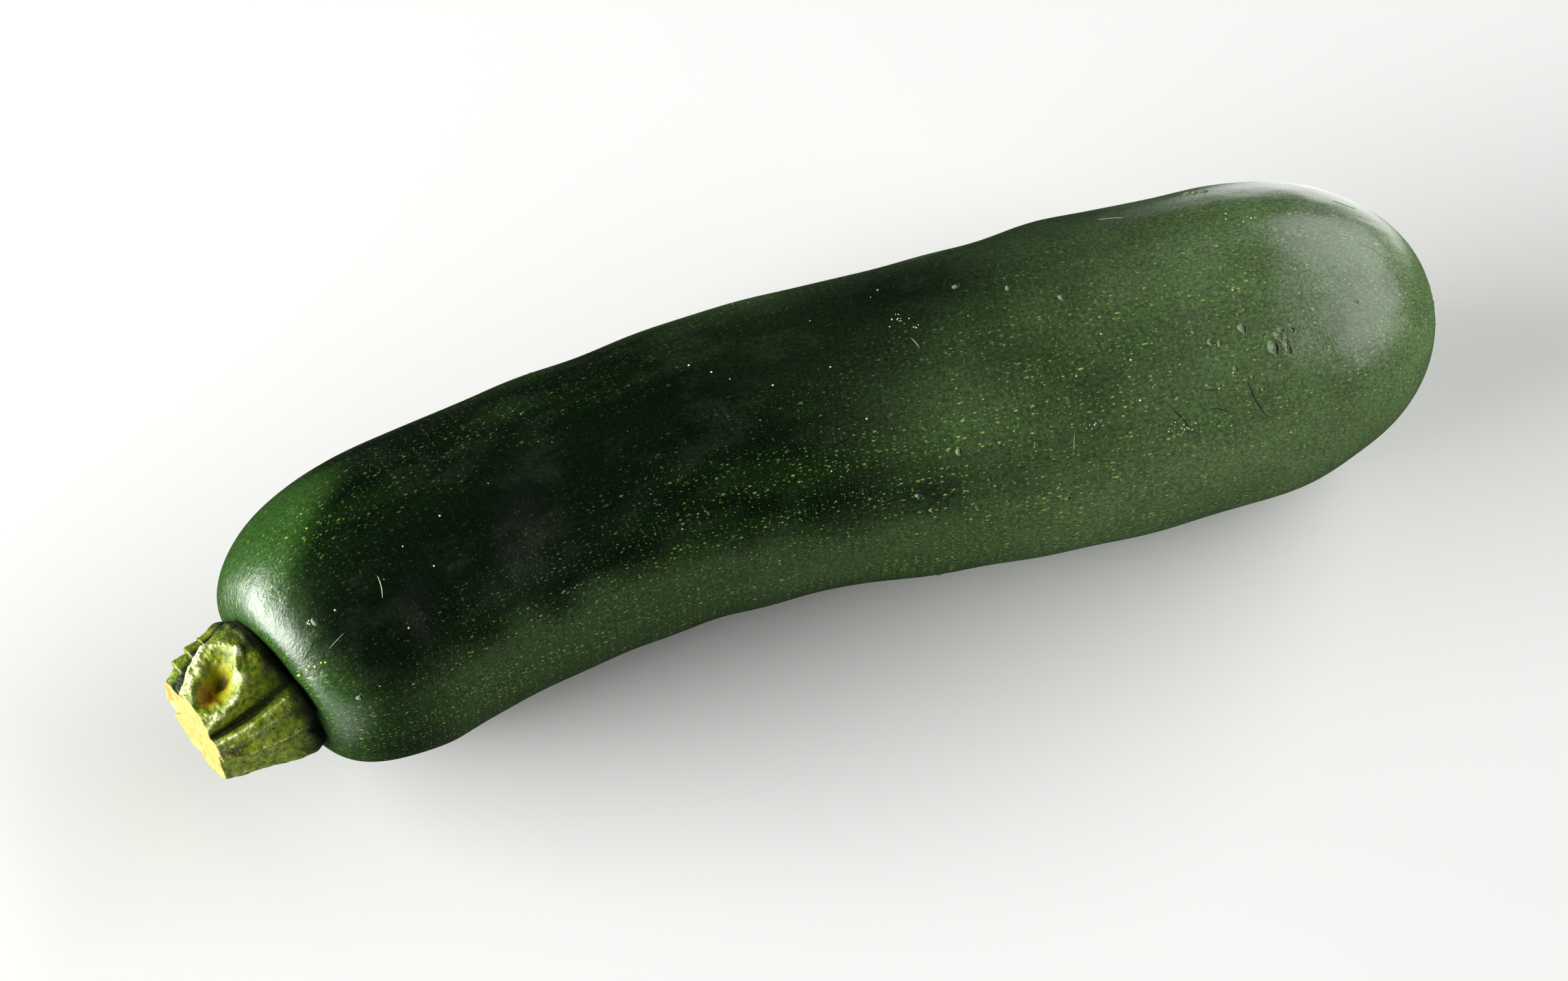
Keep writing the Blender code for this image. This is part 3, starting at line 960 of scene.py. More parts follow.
def ribbon(width, places):
    """A strip along a smooth line of places: sunk edges and a proud middle, narrowing to its ends."""
    stops = np.array(places, float)
    knots = np.linspace(0.0, 1.0, len(stops))
    at = np.linspace(0.0, 1.0, SCRATCH_STEPS)
    along, angle = (smooth_curve(knots, column, at) for column in stops.T)
    radius = fruit_radius(along)
    way = unit(stacked(np.gradient(along), np.radians(np.gradient(angle)) * radius))
    half = 0.5 * width * np.sqrt(np.clip(1.0 - (2 * at - 1) ** 2, NARROWEST_SHARE, 1.0))
    across = np.array([1.0, 0.0, -1.0])[:, None] * half
    height = np.array([-SCRATCH_SINK, SCRATCH_LIFT, -SCRATCH_SINK])[:, None] + 0 * half
    return lifted(along - across * way[:, 1], angle + np.degrees(across * way[:, 0] / radius), height)


def build_scratches(lines):
    """All scratches of one colour, as points and faces."""
    points, faces = [], []
    step = np.arange(SCRATCH_STEPS - 1)
    for number, (width, places) in enumerate(lines):
        for row in (0, 1):
            here = (3 * number + row) * SCRATCH_STEPS + step
            there = here + SCRATCH_STEPS
            faces.append(stacked(here, here + 1, there + 1, there))
        points.append(ribbon(width, places).reshape(-1, 3))
    return np.concatenate(points), faces


# Dry specks, as places along and around: the larger ones stand here, the rest by chance
BRIGHT_SPECKS = (
    (150.5, 115), (150.5, 129), (164.5, 146), (175.5, 156), (170.5, 100), (163.5, 132),
    (166.5, 128), (175, 68), (174.5, 71), (177, 74), (178.5, 73), (114, 62),
    (147, 104), (141.5, 116), (103, 93), (81, 77), (84, 83), (86.5, 88),
    (93, 95), (70.5, 137), (99.5, 131), (107, 115), (10, 106), (16, 65),
    (28.5, 113), (25.5, 101), (18.5, 128), (33.5, 97),
)

# Large yellow flecks by the stalk, as places along and around
YELLOW_SPECKS = (
    (0.5, 119), (1.5, 119), (2.5, 120), (3.5, 120), (4, 121), (2, 118), (12, 69), (15, 73),
)
YELLOW_SPECK_RADIUS = 0.2

# Scraped places: along, angle, spread in millimetres, and number of specks, then how these scatter
SCRAPES = (
    (156, 142, 2.6, 14),
    (116, 80.5, 2.2, 12),
    (143, 133, 1.8, 7),
    (118.3, 84.8, 0.7, 5),
    (5.5, 103, 0.8, 5),
)
SCRAPE_DEVIATION = 0.5
SCRAPE_DEGREES_PER_MM = 1.3

# Smallest and largest radius of the named specks, of those in scrapes and of the scattered ones, and the
# lengths and angles over which these are scattered
BRIGHT_RADII = (0.13, 0.19)
SCRAPE_RADII = (0.07, 0.15)
SCATTER_RADII = (0.05, 0.11)
SCATTER_ALONG = (8, 200)
SCATTER_AROUND = (-70, 250)

# A speck is a low dome: its two rings and its tip, as shares of its radius, out and up
SPECK_SIDES = 8
SPECK_RINGS = (
    (0.6, 0.45),
    (1.0, -0.15),
)
SPECK_TIP = 0.55


def white_specks(count):
    """Place, angle and radius of every dry speck: named ones, scraped groups and a seeded scatter."""
    chance = np.random.default_rng(41)
    places = [(along, angle, chance.uniform(*BRIGHT_RADII)) for along, angle in BRIGHT_SPECKS]
    for along, angle, spread, number in SCRAPES:
        for _ in range(number):
            shift = chance.normal(0.0, SCRAPE_DEVIATION, 2) * spread
            place = (along + shift[0], angle + SCRAPE_DEGREES_PER_MM * shift[1])
            places.append((*place, chance.uniform(*SCRAPE_RADII)))
    scattered = [chance.uniform(*span, count) for span in (SCATTER_ALONG, SCATTER_AROUND, SCATTER_RADII)]
    return np.concatenate([np.array(places), stacked(*scattered)])


def build_specks(places):
    """Low domes on the rind: a sunk ring, an upper ring and a tip for each place, angle and radius."""
    along, angle, size = (column[:, None, None] for column in places.T)
    out, up = (column[None, :, None] for column in np.array(SPECK_RINGS).T)
    forward, around = polar(size * out, side_angles(SPECK_SIDES))
    turned = angle + np.degrees(around / fruit_radius(along))
    rings = lifted(along + forward, turned, up * size + 0 * around)
    tips = lifted(along[:, 0, 0], angle[:, 0, 0], SPECK_TIP * size[:, 0, 0])
    return many_domes(rings, tips)


# Bristles: rows of the stalk that stay free at its root and cut, shortest length as a share of the longest,
# how far they lean, how deep they stand in the skin, their radius with its smallest share and its range, and
# a direction that stands across nearly all of them
BRISTLE_SIDES = 3
BRISTLE_FREE_ROOT = 12
BRISTLE_FREE_CUT = 4
BRISTLE_SHORTEST = 0.35
BRISTLE_LEAN = 0.35
BRISTLE_SINK = 0.15
BRISTLE_RADIUS = 0.055
BRISTLE_THINNEST = 0.7
BRISTLE_RANGE = 0.6
ANY_DIRECTION = np.array([0.3, 0.5, 0.8])


def build_bristles(settings):
    """Thin three-sided cones on the stalk, each along the skin's normal with a random lean."""
    height, angle, reach, _ = stalk_wall(settings)
    grid = stalk_place(height, reach, angle)
    chance = np.random.default_rng(31)
    count = settings.bristle_count
    row = chance.integers(BRISTLE_FREE_ROOT, STALK_ROWS - BRISTLE_FREE_CUT, count)
    column = chance.integers(0, STALK_SIDES, count)
    root = grid[row, column]
    length = chance.uniform(BRISTLE_SHORTEST, 1.0, count) * settings.bristle_length / MM
    way = unit(grid_normals(grid)[row, column] + chance.normal(0.0, BRISTLE_LEAN, (count, 3)))
    side = unit(np.cross(way, ANY_DIRECTION))
    other = np.cross(way, side)
    thick = BRISTLE_RADIUS * (BRISTLE_THINNEST + BRISTLE_RANGE * chance.random(count))
    across, up = (part[..., None] for part in polar(thick[:, None], side_angles(BRISTLE_SIDES)))
    ring = (root - BRISTLE_SINK * way)[:, None] + across * side[:, None] + up * other[:, None]
    tip = root + length[:, None] * way
    points = np.concatenate([ring, tip[:, None]], axis=1)
    start = np.arange(count)[:, None] * (BRISTLE_SIDES + 1)
    pairs = [(first, (first + 1) % BRISTLE_SIDES) for first in range(BRISTLE_SIDES)]
    sides = [start + np.array([[*pair, BRISTLE_SIDES]]) for pair in pairs]
    base = start + np.arange(BRISTLE_SIDES)[None, ::-1]
    return held_in(points.reshape(-1, 3)), [*sides, base]


def feed(tree, node, inputs):
    """Gives each named input of a node another node's output, or a value; a colour has three numbers."""
    for name, given in inputs.items():
        socket = node.inputs[name]
        if isinstance(given, bpy.types.NodeSocket):
            tree.links.new(given, socket)
        else:
            socket.default_value = (*given, 1.0) if socket.type == "RGBA" else given


def add_node(tree, kind, settings, inputs):
    """Adds one node with its settings and its inputs, and gives back its outputs."""
    node = tree.nodes.new("ShaderNode" + kind)
    for name, value in settings.items():
        setattr(node, name, value)
    feed(tree, node, inputs)
    return node.outputs


def new_material(name):
    """An empty node material, its node tree and its Principled shader."""
    material = bpy.data.materials.new(name)
    material.use_nodes = True
    tree = material.node_tree
    return material, tree, tree.nodes["Principled BSDF"]


# Socket numbers of a Mix node that mixes colours: its share, its two colours and its result
MIX_SHARE = 0
MIX_FIRST = 6
MIX_SECOND = 7
MIX_RESULT = 2

# Settings that many nodes share
COLOURS = {"data_type": "RGBA"}
SMOOTH = {"interpolation_type": "SMOOTHSTEP"}
TIMES = {"operation": "MULTIPLY"}
TIMES_PLUS = {"operation": "MULTIPLY_ADD"}

# Patterns in the rind: how much they stretch along, their size in millimetres, detail, and the two noise
# levels between which they come in. The grain of real skin is finer than a tenth of a millimetre. It is drawn
# as coarse as "fine" and as the grain size, so that it shows
RIND_PATTERNS = {
    "cloud": (0.35, 9.0, 3.0, 0.40, 0.64),
    "haze": (0.55, 5.5, 3.0, 0.46, 0.70),
    "rows": (0.05, 1.9, 1.0, 0.36, 0.62),
    "fine": (0.75, 0.5, 3.0, 0.32, 0.68),
    "dimple": (0.75, 6.5, 1.0, 0.25, 0.75),
}
PATTERN_ROUGHNESS = 0.6

# Darkest and brightest share of the skin's colour in the fine grain
FINE_DARK = 0.6
FINE_BRIGHT = 1.25

# Layers of flecks: share of the mean spacing, stretch, largest radius as a share of the spacing, and
# strength. Then how irregularly they stand, the share left out, their size between the rows, the faintest
# share, and how far they stand up against the fine pattern
FLECK_LAYERS = (
    (1.0, 0.50, 0.27, 1.0),
    (1.7, 0.50, 0.20, 1.0),
    (0.62, 0.50, 0.26, 0.8),
)
FLECK_RANDOMNESS = 0.85
FLECK_LEFT_OUT = 0.12
FLECK_BETWEEN_ROWS = 0.55
FLECK_FAINTEST = 0.35
FLECK_RELIEF = 0.3
GRAIN_RELIEF = 1.6


def rind_material(looks):
    """Courgette rind, grown and waxy: very dark green with rows of pale flecks under a soft cuticle gloss.

    The dry shoulder is finely wrinkled, so that its highlight breaks up into grains. Its colour holds painted
    shade over the upper middle, and painted sheen and painted floor reflection on the blossom end and the
    belly.
    """
    material, tree, shader = new_material("courgette_rind_waxy")
    read = {}
    for name, output in (("growth", "Vector"), ("tone", "Vector"), ("dark_and_shade", "Fac"), ("clear", "Fac")):
        read[name] = add_node(tree, "Attribute", {"attribute_name": name}, {})[output]
    growth = read["growth"]
    pale_end_and_sheen, shoulder, belly = add_node(tree, "SeparateXYZ", {}, {"Vector": read["tone"]})

    pattern = {}
    for name, (stretch, size, detail, low, high) in RIND_PATTERNS.items():
        place = add_node(tree, "VectorMath", TIMES, {0: growth, 1: (stretch, 1.0, 1.0)})[0]
        inputs = {"Vector": place, "Scale": 1.0 / size, "Detail": detail, "Roughness": PATTERN_ROUGHNESS}
        noise = add_node(tree, "TexNoise", {}, inputs)["Fac"]
        inputs = {"Value": noise, "From Min": low, "From Max": high}
        pattern[name] = add_node(tree, "MapRange", SMOOTH, inputs)[0]
    hazy = add_node(tree, "Math", TIMES, {0: pattern["haze"], 1: looks.haze_share})[0]
    # Layers of the skin's colour: the darkest carries painted shade, the blossom end's painted sheen, the
    # belly's painted floor reflection
    layers = (
        (pattern["cloud"], looks.mid_green),
        (read["dark_and_shade"], looks.darkest_green_and_shade),
        (belly, looks.olive_green),
        (pale_end_and_sheen, looks.pale_end_and_sheen_green),
        (shoulder, looks.shoulder_green),
        (hazy, looks.haze_grey),
    )
    skin = looks.darkest_green_and_shade
    for share, tint in layers:
        inputs = {MIX_SHARE: share, MIX_FIRST: skin, MIX_SECOND: tint}
        skin = add_node(tree, "Mix", COLOURS, inputs)[MIX_RESULT]
    inputs = {"Value": pattern["fine"], "To Min": FINE_DARK, "To Max": FINE_BRIGHT}
    shade = add_node(tree, "MapRange", {}, inputs)[0]
    skin = add_node(tree, "VectorMath", {"operation": "SCALE"}, {0: skin, "Scale": shade})[0]

    flecks = add_node(tree, "UVMap", {"uv_map": "growth_map"}, {})["UV"]
    inputs = {"Value": pattern["rows"], "To Min": FLECK_BETWEEN_ROWS, "To Max": 1.0}
    in_rows = add_node(tree, "MapRange", {}, inputs)[0]
    relief = pattern["fine"]
    for spacing, stretch, radius, strength in FLECK_LAYERS:
        place = add_node(tree, "VectorMath", TIMES, {0: flecks, 1: (stretch, 1.0, 1.0)})[0]
        scale = MM / (looks.fleck_spacing * spacing)
        inputs = {"Vector": place, "Scale": scale, "Randomness": FLECK_RANDOMNESS}
        cells = add_node(tree, "TexVoronoi", {"voronoi_dimensions": "2D"}, inputs)
        chances = add_node(tree, "SeparateColor", {}, {"Color": cells["Color"]})
        inputs = {"Value": chances["Red"], "From Min": FLECK_LEFT_OUT, "To Min": 0.0, "To Max": radius}
        size = add_node(tree, "MapRange", {}, inputs)[0]
        size = add_node(tree, "Math", TIMES, {0: size, 1: in_rows})[0]
        inputs = {"Value": cells["Distance"], "From Min": size, "From Max": 0.0}
        inside = add_node(tree, "MapRange", SMOOTH, inputs)[0]
        inputs = {"Value": chances["Green"], "To Min": FLECK_FAINTEST * strength, "To Max": strength}
        share = add_node(tree, "MapRange", {}, inputs)[0]
        for other in (read["clear"], inside):
            share = add_node(tree, "Math", TIMES, {0: other, 1: share})[0]
        inputs = {MIX_SHARE: chances["Blue"], MIX_FIRST: looks.fleck_green, MIX_SECOND: looks.fleck_yellow}
        tint = add_node(tree, "Mix", COLOURS, inputs)[MIX_RESULT]
        inputs = {MIX_SHARE: share, MIX_FIRST: skin, MIX_SECOND: tint}
        skin = add_node(tree, "Mix", COLOURS, inputs)[MIX_RESULT]
        relief = add_node(tree, "Math", TIMES_PLUS, {0: inside, 1: FLECK_RELIEF, 2: relief})[0]

    inputs = {"Vector": growth, "Scale": MM / looks.grain_size, "Detail": 2.0, "Roughness": 0.65}
    grain = add_node(tree, "TexNoise", {}, inputs)["Fac"]
    relief = add_node(tree, "Math", TIMES_PLUS, {0: grain, 1: GRAIN_RELIEF, 2: relief})[0]
    inputs = {"Vector": growth, "Scale": MM / looks.crazing_size, "Detail": 4.0, "Roughness": 0.7}
    crazing = add_node(tree, "TexNoise", {}, inputs)["Fac"]
    crazing = add_node(tree, "Math", TIMES, {0: crazing, 1: shoulder})[0]
    bump = add_node(tree, "Bump", {}, {"Height": crazing, "Distance": looks.crazing_depth})[0]
    for height, depth in ((pattern["dimple"], looks.dimple_depth), (relief, looks.skin_grain)):
        bump = add_node(tree, "Bump", {}, {"Height": height, "Distance": depth, "Normal": bump})[0]
    feed(tree, shader, {"Base Color": skin, "Normal": bump, "Roughness": looks.roughness, "IOR": 1.45})
    return material


# Flower scar: size of its patches and cracks, depth of the cracks, and the radii between which it turns green
SCAR_PATCH_SIZE = 1.42857
SCAR_CRACK_SIZE = 0.454545
SCAR_CRACK_DEPTH = 0.12
SCAR_GREEN_START = 5.4
SCAR_GREEN_END = 6.5


def scar_material(looks):
    """Flower scar, dried to cork: dull tan with a greenish rim and fine cracks."""
    material, tree, shader = new_material("flower_scar_dried_cork")
    radius = add_node(tree, "Attribute", {"attribute_name": "radius"}, {})["Fac"]
    place = add_node(tree, "TexCoord", {}, {})["Object"]
    inputs = {"Vector": place, "Scale": 1 / (SCAR_PATCH_SIZE * MM), "Detail": 4.0}
    patch = add_node(tree, "TexNoise", {}, inputs)["Fac"]
    inputs = {MIX_SHARE: patch, MIX_FIRST: looks.scar_dark, MIX_SECOND: looks.scar_tan}
    cork = add_node(tree, "Mix", COLOURS, inputs)[MIX_RESULT]
    inputs = {"Value": radius, "From Min": SCAR_GREEN_START, "From Max": SCAR_GREEN_END}
    edge = add_node(tree, "MapRange", SMOOTH, inputs)[0]
    inputs = {MIX_SHARE: edge, MIX_FIRST: cork, MIX_SECOND: looks.olive_green}
    skin = add_node(tree, "Mix", COLOURS, inputs)[MIX_RESULT]
    inputs = {"Vector": place, "Scale": 1 / (SCAR_CRACK_SIZE * MM), "Detail": 3.0}
    cracks = add_node(tree, "TexNoise", {}, inputs)["Fac"]
    bump = add_node(tree, "Bump", {}, {"Height": cracks, "Distance": SCAR_CRACK_DEPTH * MM})[0]
    feed(tree, shader, {"Base Color": skin, "Normal": bump, "Roughness": 0.8})
    return material


# Noises in the stalk's finish: sizes in millimetres. The real granules of the cork are about as wide as here
STALK_NOISES = {
    "patch": 2.6,
    "granule": 0.34,
    "fine": 0.9,
}
STALK_GRANULE_RELIEF = 0.8

# How each colour of the stalk comes in: name, attribute, the noise that roughens it and its weight, and the
# two levels of their sum between which it comes in. Root is painted shade by the fruit, partly the stalk's
# own darker green; groove and core are painted shade; amber is partly painted light shining through the
# hollow's wall
STALK_EDGES = (
    ("patch", None, "patch", 1.0, 0.34, 0.66),
    ("shade", None, "fine", 1.0, 0.66, 0.26),
    # Painted shade: the stalk darkens towards the fruit, partly its own darker green
    ("root", "height", "patch", 0.20, 0.44, 0.14),
    # Painted shade in the grooves
    ("groove", "groove", "fine", 0.9, 0.70, 1.25),
    ("hollow", "hollow", "fine", 0.35, 0.30, 0.80),
    # Partly painted light shining through the hollow's wall
    ("amber", "amber", "fine", 0.40, 0.35, 0.95),
    # Painted shade in the hollow's core
    ("core", "core", "fine", 0.45, 0.45, 1.05),
    ("cork", "cork", "granule", 1.2, 0.75, 1.45),
    ("granule", "cork", "granule", 2.4, 1.60, 2.45),
    ("stain", "stain", "granule", 3.0, 1.85, 2.30),
    ("cut", "cut", None, 0.0, 0.0, 1.0),
    ("browned", None, "fine", 1.0, 0.48, 0.80),
)


def stalk_material(looks):
    """Courgette stalk, grown, torn and cut: green skin with pale corky ridges, a cream-coloured cut face, and
    painted shade by the fruit, in the grooves and, dark brown, in the hollow's core, with painted light on
    its amber wall."""
    material, tree, shader = new_material("courgette_stalk_corky")
    place = add_node(tree, "TexCoord", {}, {})["Object"]
    noise = {}
    for name, size in STALK_NOISES.items():
        inputs = {"Vector": place, "Scale": 1 / (size * MM), "Detail": 3.0}
        noise[name] = add_node(tree, "TexNoise", {}, inputs)["Fac"]
    level = {}
    for name, source, rough, weight, low, high in STALK_EDGES:
        value = add_node(tree, "Attribute", {"attribute_name": source}, {})["Fac"] if source else 0.0
        if rough:
            value = add_node(tree, "Math", TIMES_PLUS, {0: noise[rough], 1: weight, 2: value})[0]
        inputs = {"Value": value, "From Min": low, "From Max": high}
        level[name] = add_node(tree, "MapRange", SMOOTH, inputs)[0]
    inputs = {MIX_SHARE: level["browned"], MIX_FIRST: looks.flesh_cream, MIX_SECOND: looks.flesh_tint}
    flesh = add_node(tree, "Mix", COLOURS, inputs)[MIX_RESULT]
    layers = (
        ("patch", looks.yellow_green),
        ("shade", looks.shade_green),
        ("root", looks.root_shade_green),
        ("groove", looks.groove_shade_olive),
        ("hollow", looks.hollow_olive),
        ("amber", looks.hollow_amber_lit),
        ("core", looks.hollow_core_shade),
        ("cork", looks.cork_green),
        ("granule", looks.cork_pale),
        ("stain", looks.stain_brown),
        ("cut", flesh),
    )
    skin = looks.green
    for name, tint in layers:
        inputs = {MIX_SHARE: level[name], MIX_FIRST: skin, MIX_SECOND: tint}
        skin = add_node(tree, "Mix", COLOURS, inputs)[MIX_RESULT]
    inputs = {0: noise["granule"], 1: STALK_GRANULE_RELIEF, 2: noise["fine"]}
    height = add_node(tree, "Math", TIMES_PLUS, inputs)[0]
    bump = add_node(tree, "Bump", {}, {"Height": height, "Distance": looks.fine_bump})[0]
    feed(tree, shader, {
        "Base Color": skin,
        "Normal": bump,
        "Roughness": 0.5,
        "Specular IOR Level": 0.25,
        "Subsurface Weight": 0.06,
        "Subsurface Radius": (1.0 * MM, 0.8 * MM, 0.3 * MM),
    })
    return material


# Where on a scab's painted shade its dark, middle and pale colours stand
SCAB_STOPS = (0.05, 0.4, 0.95)


def mark_material(looks):
    """Healed scab, corky and skin-coloured, with painted light on its edge towards the stalk and painted
    shade in the pit opposite.
    """
    material, tree, shader = new_material("healed_scab_corky")
    shade = add_node(tree, "Attribute", {"attribute_name": "shade"}, {})["Fac"]
    tint = add_node(tree, "ValToRGB", {}, {"Fac": shade})["Color"]
    stops = tint.node.color_ramp.elements
    stops.new(SCAB_STOPS[1])
    for stop, position, shown in zip(stops, SCAB_STOPS, (looks.scab_pit_shade, looks.scab_green, looks.scab_lit_edge)):
        stop.position = position
        stop.color = (*shown, 1.0)
    feed(tree, shader, {"Base Color": tint, "Roughness": 0.55, "Specular IOR Level": 0.3})
    return material


# Fine grain of the plain materials: its size and height
PLAIN_GRAIN_SIZE = 0.4
PLAIN_GRAIN_HEIGHT = 0.02


def plain_material(name, base, roughness):
    """One more material whose colour is the same all over, with a fine grain."""
    material, tree, shader = new_material(name)
    place = add_node(tree, "TexCoord", {}, {})["Object"]
    inputs = {"Vector": place, "Scale": 1 / (PLAIN_GRAIN_SIZE * MM), "Detail": 2.0}
    grain = add_node(tree, "TexNoise", {}, inputs)["Fac"]
    bump = add_node(tree, "Bump", {}, {"Height": grain, "Distance": PLAIN_GRAIN_HEIGHT * MM})[0]
    feed(tree, shader, {"Base Color": base, "Normal": bump, "Roughness": roughness})
    return material


def number_property(name, description, default, **more):
    """A property for a number that isn't below zero."""
    return FloatProperty(name=name, description=description, default=default, min=0.0, **more)


def length_property(name, description, millimetres):
    """A length property whose default is given in millimetres."""
    return number_property(name, description, millimetres * MM, unit="LENGTH", precision=5)


def count_property(name, description, default):
    """A property for a number of things."""
    return IntProperty(name=name, description=description, default=default, min=0)


def colour_property(name, description, code):
    """A colour property with an sRGB hex code as its default."""
    return FloatVectorProperty(
        name=name, description=description, default=linear(code), subtype="COLOR", min=0.0, max=1.0)


class CourgetteRindLooks(bpy.types.PropertyGroup):
    """Sizes and colours of the rind and of its flower scar"""
    # Also the colour of the painted shade over the upper middle of the fruit
    darkest_green_and_shade: colour_property("Deep green", "Darkest green of the skin", "#061306")
    mid_green: colour_property("Mid green", "Green of the paler clouds", "#142E0C")
    # On the belly this olive is partly painted reflection of the lit floor; the scar's rim uses it too
    olive_green: colour_property("Olive green", "Green of the belly", "#364C28")
    shoulder_green: colour_property("Shoulder green", "Green round the stalk", "#2C4E1A")
    # Partly the fruit's own paler green and partly painted sheen of the light beyond the blossom end
    pale_end_and_sheen_green: colour_property("Bloom green", "Paler green of the blossom end", "#5C764A")
    haze_grey: colour_property("Haze grey", "Grey green of the faint dry wax", "#46503C")
    haze_share: number_property("Haze", "Strength of the dry wax", 0.12, max=1.0)
    fleck_green: colour_property("Fleck green", "Darker colour of the small flecks", "#68B446")
    fleck_yellow: colour_property("Fleck yellow", "Lighter colour of the small flecks", "#D2E27C")
    fleck_spacing: length_property("Fleck spacing", "Mean distance between flecks", 0.84)
    grain_size: length_property("Grain size", "Width of the finest grains of the skin", 0.35)
    dimple_depth: length_property("Dimple depth", "Depth of the faint dimples of the skin", 0.13)
    skin_grain: length_property("Skin grain", "Height of the finest relief of the skin", 0.013)
    crazing_size: length_property("Crazing size", "Width of the wrinkles of the dry shoulder", 1.1)
    crazing_depth: length_property("Crazing depth", "Height of the wrinkles of the dry shoulder", 0.16)
    roughness: number_property("Roughness", "Roughness of the wax", 0.27, max=1.0)
    scar_tan: colour_property("Scar tan", "Light cork of the flower scar", "#8A7A56")
    scar_dark: colour_property("Scar brown", "Dark cork of the flower scar", "#4C4029")


class CourgetteStalkLooks(bpy.types.PropertyGroup):
    """Sizes and colours of the stalk and of its hairs"""
    green: colour_property("Green", "Skin of the stalk", "#5C740A")
    yellow_green: colour_property("Yellow green", "Paler skin of the stalk", "#8E981A")
    shade_green: colour_property("Shade green", "Darker mottling of the stalk", "#3A5208")
    # Painted shade next to the fruit, partly the stalk's own darker green
    root_shade_green: colour_property("Root green", "Skin of the stalk next to the fruit", "#0A1602")
    # Painted shade at the bottoms of the grooves
    groove_shade_olive: colour_property("Groove olive", "Bottoms of the grooves", "#1E2802")
    cork_green: colour_property("Cork green", "Skin between the cork granules", "#98A248")
    cork_pale: colour_property("Pale cork", "Dry granules on the crests", "#D8DEB0")
    hollow_olive: colour_property("Hollow olive", "Walls of the torn hollow", "#9C9A10")
    # Partly the wall's own amber and partly painted light shining through it
    hollow_amber_lit: colour_property("Hollow amber", "Wall of the torn hollow towards the cut", "#A07C10")
    # Painted shade in the middle of the torn hollow
    hollow_core_shade: colour_property("Hollow brown", "Middle of the torn hollow", "#584A12")
    stain_brown: colour_property("Browned patch", "Browned granules beside the cut", "#43361A")
    flesh_cream: colour_property("Flesh cream", "Cut flesh", "#B8A458")
    flesh_tint: colour_property("Flesh tint", "Browned patches of the cut flesh", "#A07E3C")
    lump_height: length_property("Lump height", "Height of the stalk's lumps", 0.3)
    cork_grain: length_property("Cork grain", "Height of the grain on cork", 0.18)
    fine_bump: length_property("Fine bump", "Height of the finest relief", 0.14)
    bristle_count: count_property("Bristles", "Number of stiff hairs on the stalk", 200)
    bristle_length: length_property("Bristle length", "Length of the longest hairs", 0.8)


class CourgetteMarkLooks(bpy.types.PropertyGroup):
    """Colours of the scabs, scratches and specks, and number of scattered specks"""
    # The scab's pale edge is painted light, and its dark pit painted shade
    scab_lit_edge: colour_property("Scab edge", "Pale edge of a healed scab", "#A2B08C")
    scab_green: colour_property("Scab", "Middle of a healed scab", "#526A42")
    scab_pit_shade: colour_property("Scab pit", "Pit of a healed scab", "#060906")
    scratch_dark: colour_property("Dark scratch", "Colour of the dark scratches", "#0A0F08")
    scratch_pale: colour_property("Pale scratch", "Colour of the dry scratches", "#B9BD92")
    speck_white: colour_property("Dry speck", "Colour of the dry specks", "#E4E2CC")
    speck_yellow: colour_property("Yellow speck", "Colour of the large flecks by the stalk", "#B4BE50")
    speck_count: count_property("Specks", "Number of scattered specks", 60)


class CourgetteStageLooks(bpy.types.PropertyGroup):
    """Floor, cards and lights"""
    floor_colour: colour_property("Floor", "Matt paper of the floor", "#EEEEEC")
    floor_size: length_property("Floor size", "Edge of the square floor", 6000.0)
    side_power: number_property("Side light", "Power of the light beside the stalk", 39.5, unit="POWER")
    gloss_power: number_property("Gloss light", "Power of the low light in the gloss", 0.58, unit="POWER")
    far_power: number_property("Far light", "Power of the light past the blossom end", 74.0, unit="POWER")
    card_strength: number_property("Card", "Brightness of the white cards", 1.0)
    room: number_property("Room light", "Strength of the even light of the room", 0.02)


def finished(piece, node):
    """Lets a piece ride on the body and, when a node is given, stand for it by hiding that node's solid."""
    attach(piece, BODY)
    if node:
        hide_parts(node)


class CourgetteMakeRind(bpy.types.Operator):
    """Makes the rind as one closed surface over distance along and angle around"""
    bl_idname = "courgette.make_rind"
    bl_label = "Rind"

    def execute(self, context):
        along = rind_rings()
        angle = side_angles(RIND_SIDES, RIND_SEAM_ANGLE)
        length = growth_length(along)
        growth = stacked(length, *polar(GROWTH_RADIUS, angle))
        pale_end_and_sheen, shoulder, belly, dark_and_shade, clear = rind_tones(along, angle, growth)
        tone = np.clip(stacked(pale_end_and_sheen, shoulder, belly), 0.0, 1.0)
        points, faces = closed_tube(skin_point(along, angle))
        points[-1, :2] -= END_SINK * spine_heading(np.array(FRUIT_LENGTH))
        attributes = {
            "growth": np.concatenate([growth.reshape(-1, 3), [(0.0, 0.0, 0.0), (length[-1, 0], 0.0, 0.0)]]),
            "tone": np.concatenate([tone.reshape(-1, 3), tone[[0, -1], 0]]),
            "dark_and_shade": np.concatenate([dark_and_shade.ravel(), (0.0, 0.0)]),
            "clear": np.concatenate([clear.ravel(), (1.0, 1.0)]),
        }
        material = rind_material(context.scene.courgette_rind)
        piece = make_piece("rind", points, faces, material, attributes, growth_map(length, RIND_SIDES))
        finished(piece, "fruit")
        return {"FINISHED"}


class CourgetteMakeScar(bpy.types.Operator):
    """Makes the dry scar that the flower left at the blossom end"""
    bl_idname = "courgette.make_scar"
    bl_label = "Flower scar"

    def execute(self, context):
        points, faces, radius = build_scar()
        material = scar_material(context.scene.courgette_rind)
        piece = make_piece("flower_scar", points, faces, material, {"radius": radius})
        finished(piece, None)
        return {"FINISHED"}


